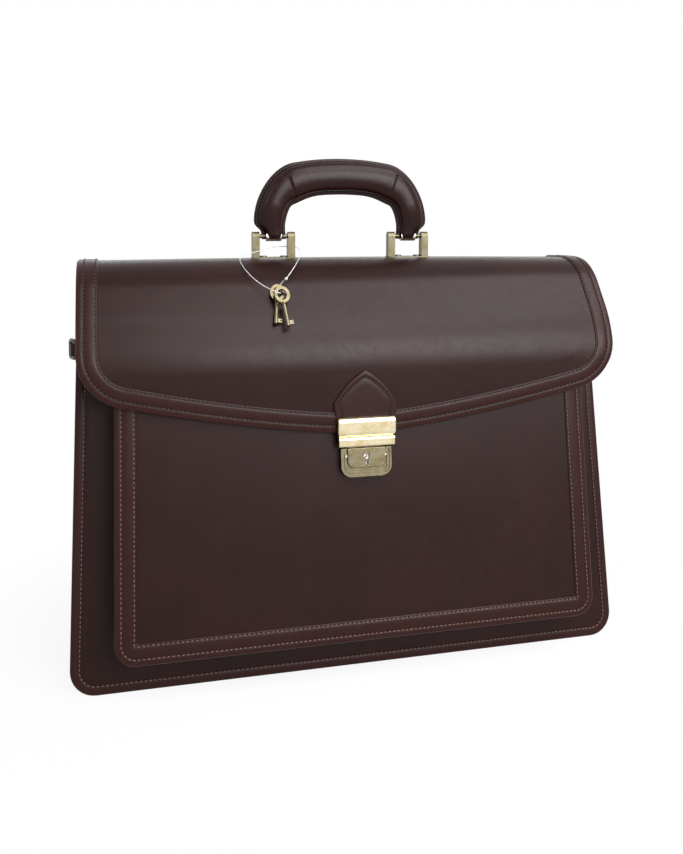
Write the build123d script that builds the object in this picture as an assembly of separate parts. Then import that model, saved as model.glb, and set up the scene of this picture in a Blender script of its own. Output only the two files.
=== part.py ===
from build123d import *
import os
from math import atan, atan2, cos, degrees, hypot, pi, radians, sin, sqrt, tan

os.makedirs("parts", exist_ok=True)

# The case. Origin at the middle of the divider's bottom edge, X right, Y back, Z up, millimetres.
CASE_HALF_WIDTH = 211.0
CASE_TAPER = 0.0317
CASE_HALF_DEPTH = 59.95
CASE_LEAN = 0.1239
CASE_CORNER = 18.0
LEATHER = 3.0
DIVIDER = 2.5
FRONT_TOP = 290.0
DIVIDER_TOP = 284.0
GUSSET_TOP = 277.0
GUSSET_WALL = 1.9
GUSSET_FOLD = 24.0
FLANGE_WIDTH = 8.0
FLANGE_THICKNESS = 1.2
FLANGE_TRIM = 0.6
LINING = 0.7
BOARD = 2.6
GAP = 0.3

# The front pocket.
POCKET_HALF_WIDTH = 180.5
POCKET_TAPER = 0.014
POCKET_DEPTH = 28.4
POCKET_BOTTOM = 30.0
POCKET_TOP = 246.0
POCKET_CORNER = 15.0
POCKET_LEATHER = 2.4
POCKET_FOLD = 6.0
BORDER_WIDTH = 15.0
BORDER_THICKNESS = 1.0

# The flap, as a run round its outer face seen from the side, in (Y, Z).
TOP_Z = 303.6
FLAP_LEATHER = 2.4
FLAP_LINING = 0.8
FLAP_HALF_WIDTH = 202.4
FLAP_SHOULDER_Y = -30.95
FLAP_BREAK = (-69.4, 248.3)
FLAP_HEM = (-71.2, 176.0)
REAR_BEND = 6.2
SHOULDER_BEND = 42.0
BREAK_BEND = 80.0
FOLD_ANGLE = 27.6
FLAP_TIP_Z = 179.0
FLAP_RISE = 26.0
FLAP_CORNER = 38.0
FLAP_CORNER_Z = 242.0
HINGE_GAP = 0.4

# The handle and its brackets.
HANDLE_HALF_DEPTH = 8.6
HANDLE_OUTER = [(63.9, 319.6), (65.0, 326.0), (70.2, 333.6), (66.6, 352.0), (55.4, 369.3), (35.0, 379.8), (0.0, 383.0)]
HANDLE_INNER = [(45.2, 319.6), (45.4, 333.0), (40.0, 346.6), (27.0, 352.8), (0.0, 354.8)]
HANDLE_SKIN = 1.8
HANDLE_ROUND = 5.0
PIN_Z = 322.0
PIN_RADIUS = 1.6
PIN_CLEARANCE = 0.05
BRACKET_X = 55.0
BRACKET_LENGTH = 33.6
BRACKET_DEPTH = 15.0
BRACKET_BASE = 2.2
POST_WIDTH = 5.6
POST_DEPTH = 7.0
POST_TOP = 325.4
RIVET_RADIUS = 1.8

# The lock.
TAB_LEATHER = 1.8
TAB_TIP_Z = 225.3
TAB_SHOULDER = (24.0, 202.0)
TAB_LOW = (20.8, 169.4)
HASP_TOP = 191.6
HASP_SPLIT = 177.7
HASP_LOW = 170.0
HASP_HALF = 21.8
SLIDER_HALF = 20.8
SLIDER_TRAVEL = 4.0
LOCK_TOP = 168.0
LOCK_LOW = 147.4
LOCK_HALF = 19.0
LOCK_DEPTH = 5.4
BASE_PLATE = 1.2
KEYHOLE_Z = 160.6

# The side rings, the keys and the thread.
RING_Z = 237.5
RING_HEIGHT = 16.0
RING_REACH = 9.0
RING_WIRE = 1.45
RING_SWING = 68.0
TAB_HEIGHT = 9.0
THREAD_DIAMETER = 0.6
KNOT_RADIUS = 1.1

LEAN_FACTOR = sqrt(1 + CASE_LEAN**2)
CASE_WIDTHS = (CASE_HALF_WIDTH, CASE_TAPER)
POCKET_WIDTHS = (POCKET_HALF_WIDTH, POCKET_TAPER)


def half_width(widths, z):
    return widths[0] - widths[1] * z


def lean_y(side, offset, z):
    return side * (CASE_HALF_DEPTH - offset * LEAN_FACTOR - CASE_LEAN * z)


def outline(widths, low, high, inset, corner):
    # The outline of a panel seen from the front, rounded at its lower corners.
    at_low = half_width(widths, low) - inset
    at_high = half_width(widths, high) - inset
    points = [(-at_high, high), (-at_low, low), (at_low, low), (at_high, high)]
    return make_face(FilletPolyline(*points, radius=[0, corner, corner, 0], close=True))


def front_prism(sketch):
    return extrude(Plane.XZ * sketch, amount=260, both=True)


def side_prism(sketch, reach=260):
    return extrude(Plane.YZ * sketch, amount=reach, both=True)


def lean_slab(side, offset, thickness, low, high):
    # A slab that leans with the front (-1) or back (1) of the case, offset inwards from its face.
    inner = offset + thickness
    points = [(lean_y(side, offset, low), low), (lean_y(side, offset, high), high)]
    points += [(lean_y(side, inner, high), high), (lean_y(side, inner, low), low)]
    return side_prism(make_face(Polyline(*points, close=True)))


def u_face(y0, slope, widths, insets, low, high, corners, wall):
    # A U-shaped band on the sloping plane y = y0 + slope * z.
    stretch = sqrt(1 + slope**2)
    at_low = half_width(widths, low) - insets[0]
    at_high = half_width(widths, high) - insets[1]
    floor = low * stretch
    top = high * stretch
    points = [(-at_high, top), (-at_low, floor), (at_low, floor), (at_high, top)]
    points += [(at_high - wall, top), (at_low - wall, floor + wall)]
    points += [(wall - at_low, floor + wall), (wall - at_high, top)]
    radii = [0, corners[0], corners[0], 0, 0, corners[1], corners[1], 0]
    band = make_face(FilletPolyline(*points, radius=radii, close=True))
    return Plane(origin=(0, y0, 0), x_dir=(1, 0, 0), z_dir=(0, -1, slope)) * band


def bellows(near, far, widths, low, high, corner, fold, trim_low):
    # A gusset between two planes, each given as (y0, slope): two flat flanges and an inward fold.
    middle = ((near[0] + far[0]) / 2, (near[1] + far[1]) / 2)
    floor = low + FLANGE_WIDTH
    bend = corner - FLANGE_WIDTH + 3
    corners = (bend, bend - GUSSET_WALL)
    leaves = []
    for plane in (near, far):
        insets = (FLANGE_WIDTH, FLANGE_WIDTH)
        start = u_face(*plane, widths, insets, floor, high, corners, GUSSET_WALL)
        insets = (FLANGE_WIDTH, FLANGE_WIDTH + fold)
        end = u_face(*middle, widths, insets, floor, high, corners, GUSSET_WALL)
        leaves.append(loft([start, end], ruled=True))
    trims = (FLANGE_TRIM, FLANGE_TRIM)
    width = FLANGE_WIDTH + GUSSET_WALL - FLANGE_TRIM
    rounds = (corner - FLANGE_TRIM, bend - GUSSET_WALL)
    flange = u_face(*near, widths, trims, low + trim_low, high, rounds, width)
    leaves.append(extrude(flange, amount=-FLANGE_THICKNESS))
    flange = u_face(*far, widths, trims, low + trim_low, high, rounds, width)
    leaves.append(extrude(flange, amount=FLANGE_THICKNESS))
    return leaves[0] + leaves[1] + leaves[2] + leaves[3]


def offset_path(points, distance):
    # The run of points moved to its left by a distance, with mitred corners.
    lefts = []
    for a, b in zip(points, points[1:]):
        length = hypot(b[0] - a[0], b[1] - a[1])
        lefts.append(((a[1] - b[1]) / length, (b[0] - a[0]) / length))
    moved = []
    for i, point in enumerate(points):
        before = lefts[max(i - 1, 0)]
        after = lefts[min(i, len(lefts) - 1)]
        scale = distance / (1 + before[0] * after[0] + before[1] * after[1])
        moved.append((point[0] + scale * (before[0] + after[0]), point[1] + scale * (before[1] + after[1])))
    return moved


def strip_face(points, radii, near, far):
    # The face between two runs parallel to a filleted run, to its left.
    first = FilletPolyline(*offset_path(points, near), radius=[r - near for r in radii])
    second = FilletPolyline(*offset_path(points, far), radius=[r - far for r in radii])
    return make_face(first + second + Line(first @ 0, second @ 0) + Line(first @ 1, second @ 1))


def ahead(origin, direction, gap):
    # Everything ahead of a plane across the flap, set off by a gap.
    place = Plane(origin=(0, *origin), x_dir=(1, 0, 0), z_dir=(0, *direction))
    box = Box(600, 500, 400, align=(Align.CENTER, Align.CENTER, Align.MIN))
    return place * (Pos(0, 0, gap) * box)


def rod(start, end, radius):
    # A round bar from one point to another.
    run = Vector(*end) - Vector(*start)
    place = Plane(origin=start, z_dir=run.normalized())
    return place * Cylinder(radius, run.length, align=(Align.CENTER, Align.CENTER, Align.MIN))


def rounded_box(x, y, z, radius):
    return fillet(Box(x, y, z).edges(), radius)


parts = {}

# Panels, cut flat where they stand on the floor.
front_outline = front_prism(outline(CASE_WIDTHS, 0, FRONT_TOP, 0, CASE_CORNER))
parts["front_panel"] = lean_slab(-1, 0, LEATHER, 0, FRONT_TOP) & front_outline

# The flap's run starts at the rear hinge, on the middle of the back panel's leather.
rear_y = lean_y(1, LEATHER / 2, TOP_Z - REAR_BEND)
rear_axis = (rear_y, TOP_Z - REAR_BEND + 0.6)
rear_up = (-CASE_LEAN / LEAN_FACTOR, 1 / LEAN_FACTOR)
half_leather = FLAP_LEATHER / 2
start = (rear_axis[0] + half_leather * rear_up[1], rear_axis[1] - half_leather * rear_up[0])
climb = TOP_Z - start[1]
rear_corner = (start[0] + climb * rear_up[0] / rear_up[1], TOP_Z)
flap_run = [start, rear_corner, (FLAP_SHOULDER_Y, TOP_Z), FLAP_BREAK, FLAP_HEM]
flap_bends = [REAR_BEND - 1.2, SHOULDER_BEND, BREAK_BEND]

# The fold sits half way round the shoulder bend, in the middle of the leather.
slope_angle = atan2(TOP_Z - FLAP_BREAK[1], FLAP_SHOULDER_Y - FLAP_BREAK[0])
bend_start = FLAP_SHOULDER_Y + SHOULDER_BEND * tan(slope_angle / 2)
fold_turn = radians(FOLD_ANGLE)
fold_radius = SHOULDER_BEND - half_leather
fold_axis = (bend_start - fold_radius * sin(fold_turn), TOP_Z - SHOULDER_BEND + fold_radius * cos(fold_turn))
fold_ahead = (-cos(fold_turn), -sin(fold_turn))
fold_behind = (cos(fold_turn), sin(fold_turn))

# The back panel stops short of the flap's rounded rear end, which turns over it.
back_top = rear_axis[1] - (half_leather + HINGE_GAP)
back_outline = front_prism(outline(CASE_WIDTHS, 0, back_top, 0, CASE_CORNER))
parts["back_panel"] = lean_slab(1, 0, LEATHER, 0, back_top) & back_outline
divider_slab = Pos(0, 0, DIVIDER_TOP / 2) * Box(600, DIVIDER, DIVIDER_TOP)
divider_outline = front_prism(outline(CASE_WIDTHS, 0, DIVIDER_TOP, 0, CASE_CORNER))
parts["divider_panel"] = divider_slab & divider_outline

# Gussets of the two compartments and of the pocket.
front_inside = (lean_y(-1, LEATHER, 0), CASE_LEAN)
back_inside = (lean_y(1, LEATHER, 0), -CASE_LEAN)
divider_front = (-DIVIDER / 2, 0.0)
divider_back = (DIVIDER / 2, 0.0)
case_gusset = (CASE_WIDTHS, 0, GUSSET_TOP, CASE_CORNER, GUSSET_FOLD, FLANGE_TRIM)
parts["front_gusset"] = bellows(front_inside, divider_front, *case_gusset)
parts["rear_gusset"] = bellows(divider_back, back_inside, *case_gusset)
pocket_inside = (lean_y(-1, POCKET_LEATHER - POCKET_DEPTH, 0), CASE_LEAN)
panel_outside = (lean_y(-1, 0, 0), CASE_LEAN)
pocket_sizes = (POCKET_WIDTHS, POCKET_BOTTOM, POCKET_TOP - 3, POCKET_CORNER, POCKET_FOLD, FLANGE_TRIM)
parts["pocket_gusset"] = bellows(pocket_inside, panel_outside, *pocket_sizes)

# The pocket's face and the border stitched round its edge.
pocket_shape = outline(POCKET_WIDTHS, POCKET_BOTTOM, POCKET_TOP, 0, POCKET_CORNER)
pocket_slab = lean_slab(-1, -POCKET_DEPTH, POCKET_LEATHER, POCKET_BOTTOM, POCKET_TOP)
pocket_hole = outline(POCKET_WIDTHS, POCKET_BOTTOM + BORDER_WIDTH, POCKET_TOP + 1, BORDER_WIDTH, 4)
border_slab = lean_slab(-1, -POCKET_DEPTH - BORDER_THICKNESS, BORDER_THICKNESS, POCKET_BOTTOM, POCKET_TOP)
parts["pocket_front"] = pocket_slab & front_prism(pocket_shape)
parts["pocket_border"] = border_slab & front_prism(pocket_shape - pocket_hole)

# Linings stop above the base boards and inside the gussets.
board_z = FLANGE_WIDTH + GUSSET_WALL + 0.05
lining_low = board_z + BOARD + 0.6
lining_inset = FLANGE_WIDTH + GUSSET_WALL + 3.5
lining_shape = front_prism(outline(CASE_WIDTHS, lining_low, GUSSET_TOP, lining_inset, 8))
parts["front_lining"] = lean_slab(-1, LEATHER, LINING, lining_low, GUSSET_TOP) & lining_shape
parts["back_lining"] = lean_slab(1, LEATHER, LINING, lining_low, GUSSET_TOP) & lining_shape
pocket_lining_low = POCKET_BOTTOM + FLANGE_WIDTH + GUSSET_WALL + 1
pocket_lining_shape = outline(POCKET_WIDTHS, pocket_lining_low, POCKET_TOP - 4, lining_inset, 6)
pocket_lining = lean_slab(-1, -POCKET_DEPTH + POCKET_LEATHER, LINING, pocket_lining_low, POCKET_TOP - 4)
parts["pocket_lining"] = pocket_lining & front_prism(pocket_lining_shape)

# Base boards lie on the gussets' floors, between the flanges.
board_length = 2 * (half_width(CASE_WIDTHS, board_z) - FLANGE_WIDTH - CASE_CORNER)
board_far = CASE_HALF_DEPTH - LEATHER * LEAN_FACTOR - FLANGE_THICKNESS - CASE_LEAN * (board_z + BOARD) - 1
board_near = DIVIDER / 2 + FLANGE_THICKNESS + 0.8
for name, side in (("base_board_front", -1), ("base_board_rear", 1)):
    board = Box(board_length, board_far - board_near, BOARD)
    board = fillet(board.edges().filter_by(Axis.Z), 5)
    parts[name] = Pos(0, side * (board_far + board_near) / 2, board_z + BOARD / 2) * board

# The flap's outline seen from the front: a shallow V with rounded corners.
corner_x = FLAP_HALF_WIDTH - FLAP_CORNER
edge_angle = atan(1.5 * FLAP_RISE / (corner_x + 8))


def flap_edge(inset):
    # The flap's side and lower edges, moved inwards, closed far above the flap.
    radius = FLAP_CORNER - inset
    end_x = corner_x + radius * sin(edge_angle)
    end_z = FLAP_CORNER_Z - radius * cos(edge_angle)
    tip = FLAP_TIP_Z + inset
    rise = end_z - tip
    steps = 6
    points = []
    for i in range(-steps, steps + 1):
        x = end_x * i / steps
        points.append((x, tip + rise * (abs(i) / steps) ** 1.5))
    hem = Spline(*points, tangents=[(1, -tan(edge_angle)), (1, tan(edge_angle))])
    side = corner_x + radius
    right = RadiusArc(hem @ 1, (side, FLAP_CORNER_Z), -radius)
    left = RadiusArc((-side, FLAP_CORNER_Z), hem @ 0, -radius)
    top = 340
    rim = Polyline((side, FLAP_CORNER_Z), (side, top), (-side, top), (-side, FLAP_CORNER_Z))
    return make_face(hem + right + left + rim)


flap_shape = front_prism(flap_edge(0))
border_shape = front_prism(flap_edge(0) - flap_edge(BORDER_WIDTH))
flap_skin = side_prism(strip_face(flap_run, flap_bends, 0, FLAP_LEATHER))
flap_under = side_prism(strip_face(flap_run, flap_bends, FLAP_LEATHER, FLAP_LEATHER + FLAP_LINING))
flap_over = side_prism(strip_face(flap_run, flap_bends, -BORDER_THICKNESS, 0))

# The flap's front turns at the fold; its top turns at the rear hinge.
tab_drop = ahead(fold_axis, fold_ahead, half_leather + HINGE_GAP)
parts["flap_front"] = flap_skin & flap_shape & tab_drop
parts["flap_border"] = flap_over & border_shape & ahead(fold_axis, fold_ahead, 2.6)
lining_shape = front_prism(flap_edge(2.5))
parts["flap_lining"] = flap_under & lining_shape & ahead(fold_axis, fold_ahead, 3.2)
knuckle_length = 2 * FLAP_HALF_WIDTH
knuckles = Pos(0, *rear_axis) * (Rot(0, 90, 0) * Cylinder(half_leather, knuckle_length))
knuckles += Pos(0, *fold_axis) * (Rot(0, 90, 0) * Cylinder(half_leather, knuckle_length))
flap_top = (flap_skin & flap_shape & ahead(fold_axis, fold_behind, 0)) + knuckles

# Rivet holes through the top, its stiffener and its lining, two for each bracket.
rivet_places = [(side * BRACKET_X + offset, 0) for side in (-1, 1) for offset in (-8.0, 8.0)]
rivet_holes = [Pos(x, y, TOP_Z) * Cylinder(RIVET_RADIUS + 0.05, 30) for x, y in rivet_places]
parts["flap_top"] = flap_top - rivet_holes
top_borders = flap_over & border_shape & ahead(fold_axis, fold_behind, 2.6)
parts["flap_top_border"] = top_borders & (Pos(0, rear_axis[0] - 260, TOP_Z) * Box(600, 500, 40))
stiffener_front = bend_start + GAP
stiffener_back = rear_corner[0] - REAR_BEND - 1
stiffener_y = (stiffener_front + stiffener_back) / 2
stiffener_depth = stiffener_back - stiffener_front
stiffener_z = TOP_Z - FLAP_LEATHER - BOARD / 2
stiffener = fillet(Box(376, stiffener_depth, BOARD).edges().filter_by(Axis.Z), 6)
parts["top_stiffener"] = Pos(0, stiffener_y, stiffener_z) * stiffener - rivet_holes
under_z = TOP_Z - FLAP_LEATHER - BOARD - FLAP_LINING / 2
top_lining = fillet(Box(384, stiffener_depth + 3, FLAP_LINING).edges().filter_by(Axis.Z), 6)
parts["top_lining"] = Pos(0, stiffener_y, under_z) * top_lining - rivet_holes

# Handle brackets: a plate, two round-topped posts and the pin between them.
for name, side in (("left", -1), ("right", 1)):
    centre = side * BRACKET_X
    base = rounded_box(BRACKET_LENGTH, BRACKET_DEPTH, BRACKET_BASE, 0.9)
    bracket = Pos(centre, 0, TOP_Z + BRACKET_BASE / 2) * base
    for end in (-1, 1):
        post_x = centre + end * (BRACKET_LENGTH - POST_WIDTH) / 2
        height = POST_TOP - TOP_Z - 1
        post = Box(POST_WIDTH, POST_DEPTH, height, align=(Align.CENTER, Align.CENTER, Align.MIN))
        post = fillet(post.edges().filter_by(Axis.X).sort_by(Axis.Z)[-2:], POST_DEPTH / 2 - 0.1)
        bracket += Pos(post_x, 0, TOP_Z + 1) * post
    bracket -= rivet_holes
    bore = Pos(centre, 0, PIN_Z) * (Rot(0, 90, 0) * Cylinder(PIN_RADIUS, BRACKET_LENGTH - 2.4))
    parts["bracket_" + name] = bracket - bore
    pin = Cylinder(PIN_RADIUS, BRACKET_LENGTH - 2.6)
    parts["handle_pin_" + name] = Pos(centre, 0, PIN_Z) * (Rot(0, 90, 0) * pin)

# Rivets: a head on the bracket, a shank through the top and a clenched washer below.
rivets = []
head_z = TOP_Z + BRACKET_BASE
tail_z = under_z - FLAP_LINING / 2
for x, y in rivet_places:
    shank = rod((x, y, tail_z - 1), (x, y, head_z + 0.4), RIVET_RADIUS)
    head = Pos(x, y, head_z + 0.5) * fillet(Cylinder(3.0, 1.0).edges().sort_by(Axis.Z)[-1:], 0.8)
    washer = Pos(x, y, tail_z - 0.6) * Cylinder(4.2, 1.2)
    rivets.append(shank + head + washer)
parts["bracket_rivets"] = Compound(children=rivets)

# The handle: a steel core with an eye round each pin, padding and a stitched leather cover.


def handle_face(shrink):
    # The handle seen from the front, with its long edges moved inwards.
    outer = [(-x, z) for x, z in HANDLE_OUTER] + [(x, z) for x, z in HANDLE_OUTER[-2::-1]]
    inner = [(-x, z) for x, z in HANDLE_INNER] + [(x, z) for x, z in HANDLE_INNER[-2::-1]]
    upper = Spline(*offset_path(outer, -shrink))
    lower = Spline(*offset_path(inner, shrink))
    return make_face(upper + lower + Line(upper @ 0, lower @ 0) + Line(upper @ 1, lower @ 1))


def padded_bar(shrink, rounding):
    # The handle's body, rounded along its long edges.
    bar = extrude(Plane.XZ * handle_face(shrink), amount=HANDLE_HALF_DEPTH - shrink, both=True)
    return fillet(bar.edges().filter_by(lambda e: e.length > 60), rounding)


cover = padded_bar(0, HANDLE_ROUND)
core_run = [(BRACKET_X, PIN_Z), (56.6, 336.0), (51.0, 355.0), (33.0, 367.0), (0.0, 369.0)]
core_run = [(-x, z) for x, z in core_run] + core_run[-2::-1]
core_wall = 2.6
core_face = strip_face(core_run, [14, 14, 20, 60, 20, 14, 14], -core_wall / 2, core_wall / 2)
core = extrude(Plane.XZ * core_face, amount=4.5, both=True)
for side in (-1, 1):
    core += Pos(side * BRACKET_X, 0, PIN_Z) * (Rot(0, 90, 0) * Cylinder(4.0, 12))
pin_bores = []
end_space = []
for side in (-1, 1):
    at_pin = Pos(side * BRACKET_X, 0, PIN_Z) * Rot(0, 90, 0)
    pin_bores.append(at_pin * Cylinder(PIN_RADIUS + PIN_CLEARANCE, 60))
    end_space.append(at_pin * Cylinder(4.0, 12))
core -= pin_bores
padding = padded_bar(HANDLE_SKIN, HANDLE_ROUND - HANDLE_SKIN + 0.4)
core_room = extrude(Plane.XZ * core_face, amount=4.5, both=True) + end_space
parts["handle_core"] = core
parts["handle_padding"] = padding - core_room - pin_bores
parts["handle_cover"] = cover - padding - core_room - pin_bores

# The tab under the hasp: a pointed arch, straight sides below the shoulders.
tab_points = [(0, TAB_TIP_Z), TAB_SHOULDER, (21.6, 186.0), TAB_LOW]
tab_line = [(x, z) for x, z in tab_points] + [(-x, z) for x, z in reversed(tab_points[1:])]
tab_face = make_face(FilletPolyline(*tab_line, radius=[4, 7, 40, 2, 2, 40, 7], close=True))
hem_y = FLAP_HEM[0]
tab_run = [(p[0], p[1]) for p in flap_run]
tab_run[-1] = (FLAP_HEM[0] + (FLAP_HEM[0] - FLAP_BREAK[0]) * 0.2, FLAP_HEM[1] - 14)
tab_skin = side_prism(strip_face(tab_run, flap_bends, -TAB_LEATHER, 0))


def flap_y(z):
    # The flap's outer face near its hem.
    return hem_y + (z - FLAP_HEM[1]) * (FLAP_BREAK[0] - hem_y) / (FLAP_BREAK[1] - FLAP_HEM[1])


hook_slot = Pos(0, hem_y, 173.6) * Box(16, 12, 5.4)
hasp_rivet_places = [(-13.0, 184.6), (13.0, 184.6)]


def along_y(x, z, y_from, y_to, radius):
    return rod((x, y_from, z), (x, y_to, z), radius)


hasp_holes = [along_y(x, z, hem_y - 12, hem_y + 8, 1.25) for x, z in hasp_rivet_places]
parts["hasp_tab"] = (tab_skin & front_prism(tab_face)) - hook_slot - hasp_holes
parts["flap_front"] = parts["flap_front"] - hasp_holes
parts["flap_lining"] = parts["flap_lining"] - hasp_holes
parts["flap_border"] = parts["flap_border"] - front_prism(offset(tab_face, amount=GAP))

# The hasp: a plate, a domed bar above, and the slider below with the bolt behind it.
plate_back = lean_y(0, 0, 0) + hem_y - TAB_LEATHER - 0.35
plate_front = plate_back - 1.0
hasp_height = HASP_TOP - HASP_LOW
plate = Pos(0, (plate_back + plate_front) / 2, (HASP_TOP + HASP_LOW) / 2) * Box(2 * SLIDER_HALF - 1, 1, hasp_height)
plate = fillet(plate.edges().filter_by(Axis.Y), 1.2)
slider_slot = Pos(0, plate_back, 173.6) * Box(2 * SLIDER_TRAVEL + 12.6, 12, 4.6)
parts["hasp_plate"] = plate - slider_slot - hasp_holes
bar_height = HASP_TOP - HASP_SPLIT - 0.2
bar = Box(2 * HASP_HALF, 3.8, bar_height, align=(Align.CENTER, Align.MAX, Align.MIN))
bar = fillet(bar.edges().filter_by(Axis.X).sort_by(Axis.Y)[:2], 3.4)
bar = fillet(bar.edges().filter_by(Axis.Z).sort_by(Axis.Y)[:2], 1.5)
bar = Pos(0, plate_front, HASP_SPLIT + 0.2) * bar
parts["hasp_bar"] = bar - [along_y(x, z, plate_front - 1.6, plate_front + 1, 1.25) for x, z in hasp_rivet_places]
slider_height = HASP_SPLIT - HASP_LOW - 0.3
slider = Box(2 * SLIDER_HALF, 2.6, slider_height, align=(Align.CENTER, Align.MAX, Align.MIN))
slider = fillet(slider.edges().filter_by(Axis.X).sort_by(Axis.Y)[:2], 2.0)
parts["lock_slider"] = Pos(0, plate_front - 0.1, HASP_LOW) * slider
bolt_back = hem_y + 2.6
bolt = Pos(0, (plate_front - 0.1 + bolt_back) / 2, 173.6) * Box(6.0, bolt_back - plate_front + 0.1, 3.4)
barb = Pos(-2.0, bolt_back - 0.6, 173.6) * Box(7.0, 1.2, 3.4)
parts["lock_bolt"] = bolt + barb
hasp_back = flap_y(187.7) + FLAP_LEATHER + FLAP_LINING
back_plate = Pos(0, hasp_back + 0.25, 184.6) * fillet(Box(32, 0.5, 6).edges().filter_by(Axis.Y), 2.5)
washers = back_plate - hasp_holes
parts["hasp_back_plate"] = washers
hasp_rivets = []
for x, z in hasp_rivet_places:
    pin = along_y(x, z, hasp_back + 0.5, plate_front - 1.4, 1.2)
    hasp_rivets.append(pin)
parts["hasp_rivets"] = Compound(children=hasp_rivets)

# The lock's case, on the pocket's face. Local x is X, y runs up the face and z stands out of it.
pocket_face_y = lean_y(-1, -POCKET_DEPTH, KEYHOLE_Z)
lock_plane = Plane(origin=(0, pocket_face_y, KEYHOLE_Z), x_dir=(1, 0, 0), z_dir=(0, -1, CASE_LEAN))
lock_up = (LOCK_TOP - KEYHOLE_Z) * LEAN_FACTOR
lock_down = (LOCK_LOW - KEYHOLE_Z) * LEAN_FACTOR
lock_height = lock_up - lock_down


def lock_shape(inset, corner):
    # The lock's U outline, square above and rounded below.
    half = LOCK_HALF - inset
    points = [(-half, lock_up - inset), (-half, lock_down + inset), (half, lock_down + inset), (half, lock_up - inset)]
    return make_face(FilletPolyline(*points, radius=[0.8, corner, corner, 0.8], close=True))


def lock_block(shape, low, high):
    return lock_plane * extrude(Pos(0, 0, low) * shape, amount=high - low)


screw_places = [(-14.6, 2.0), (14.6, 2.0)]
screw_holes = [lock_plane * (Pos(x, y, 0) * Cylinder(1.05, 16)) for x, y in screw_places]
keeper_top = 178.2
keeper_back = (Pos(0, lock_up) * Rectangle(26, 2 * (keeper_top - LOCK_TOP - 0.4)))
base_plate = lock_block(lock_shape(0.3, 7.7) + keeper_back, 0, BASE_PLATE)
parts["lock_base"] = base_plate - screw_holes
case = lock_block(lock_shape(0, 8.0), BASE_PLATE, LOCK_DEPTH)
cavity = lock_block(lock_shape(1.6, 6.4), 1.0, LOCK_DEPTH - 1.4)
rim_gap = Pos(0, lock_up) * Rectangle(29.4, 9.2)
rim = lock_block(lock_shape(0, 8.0) - lock_shape(1.5, 6.5) - rim_gap, LOCK_DEPTH - 0.2, LOCK_DEPTH + 0.9)
inner_rim = lock_shape(2.6, 5.4) - lock_shape(3.7, 4.3) - rim_gap
inner_rim = lock_block(inner_rim, LOCK_DEPTH - 0.2, LOCK_DEPTH + 0.7)
rotor_bore = lock_plane * (Pos(0, 0, LOCK_DEPTH) * Cylinder(4.3, 8))
posts = [lock_plane * (Pos(x, y, LOCK_DEPTH / 2) * Cylinder(2.2, LOCK_DEPTH - 2.6)) for x, y in screw_places]
parts["lock_case"] = (case - cavity + posts + rim + inner_rim) - rotor_bore - screw_holes
plate_shape = make_face(FilletPolyline((-14.4, 7.6), (-14.4, -6.6), (14.4, -6.6), (14.4, 7.6), radius=[1, 5, 5, 1], close=True))
keyhole = Pos(0, 1.6) * Circle(2.2) + Pos(0, -1.4) * Rectangle(2.0, 5.2)
escutcheon = lock_block(plate_shape, LOCK_DEPTH, LOCK_DEPTH + 2.2)
escutcheon = fillet(escutcheon.edges().group_by(Axis.Y)[0], 0.5)
key_window = lock_block(keyhole, LOCK_DEPTH - 1, LOCK_DEPTH + 4)
parts["lock_escutcheon"] = escutcheon - key_window - screw_holes
rotor = lock_plane * (Pos(0, 0, (LOCK_DEPTH + 1.4) / 2) * Cylinder(4.2, LOCK_DEPTH - 1.8))
rotor_slot = lock_block(Pos(0, 1.6) * Circle(2.0) + Pos(0, -1.0) * Rectangle(1.8, 4.4), 0, 12)
post_hole = lock_plane * Cylinder(1.1, 40)
parts["lock_rotor"] = rotor - lock_block(Rectangle(1.8, 6.4), LOCK_DEPTH - 2.2, 12) - post_hole
parts["lock_drill_pin"] = lock_plane * (Pos(0, 0, 1.2) * Cylinder(0.8, LOCK_DEPTH + 0.4, align=(Align.CENTER, Align.CENTER, Align.MIN)))
lock_screws = []
for x, y in screw_places:
    shank = Pos(x, y, -3.2) * Cylinder(1.0, LOCK_DEPTH + 3.0, align=(Align.CENTER, Align.CENTER, Align.MIN))
    nut = Pos(x, y, -POCKET_LEATHER - 0.6) * Cylinder(2.4, 1.2)
    lock_screws.append(lock_plane * (shank + nut))
parts["lock_screws"] = Compound(children=lock_screws)
parts["pocket_front"] = parts["pocket_front"] - screw_holes
nut_room = [lock_plane * (Pos(x, y, -POCKET_LEATHER - 2) * Cylinder(2.7, 4)) for x, y in screw_places]
parts["pocket_lining"] = parts["pocket_lining"] - nut_room

# The keeper behind the tab, where the hasp's bolt hooks in.
keeper_front = hem_y + 0.45
keeper_low = LOCK_TOP + 0.9
keeper_height = keeper_top - keeper_low
keeper = Pos(0, keeper_front, keeper_low) * Box(26, 8, keeper_height, align=(Align.CENTER, Align.MIN, Align.MIN))
keeper = keeper & lean_slab(-1, -POCKET_DEPTH - 20, 20 - BASE_PLATE, keeper_low - 1, keeper_top + 1)
keeper_mouth = Pos(0, keeper_front, 174.1) * Box(17.6, 30, 5.8)
parts["lock_keeper"] = keeper - (keeper_mouth & lean_slab(-1, -POCKET_DEPTH - 20, 20 - BASE_PLATE, 160, 190))

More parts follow.
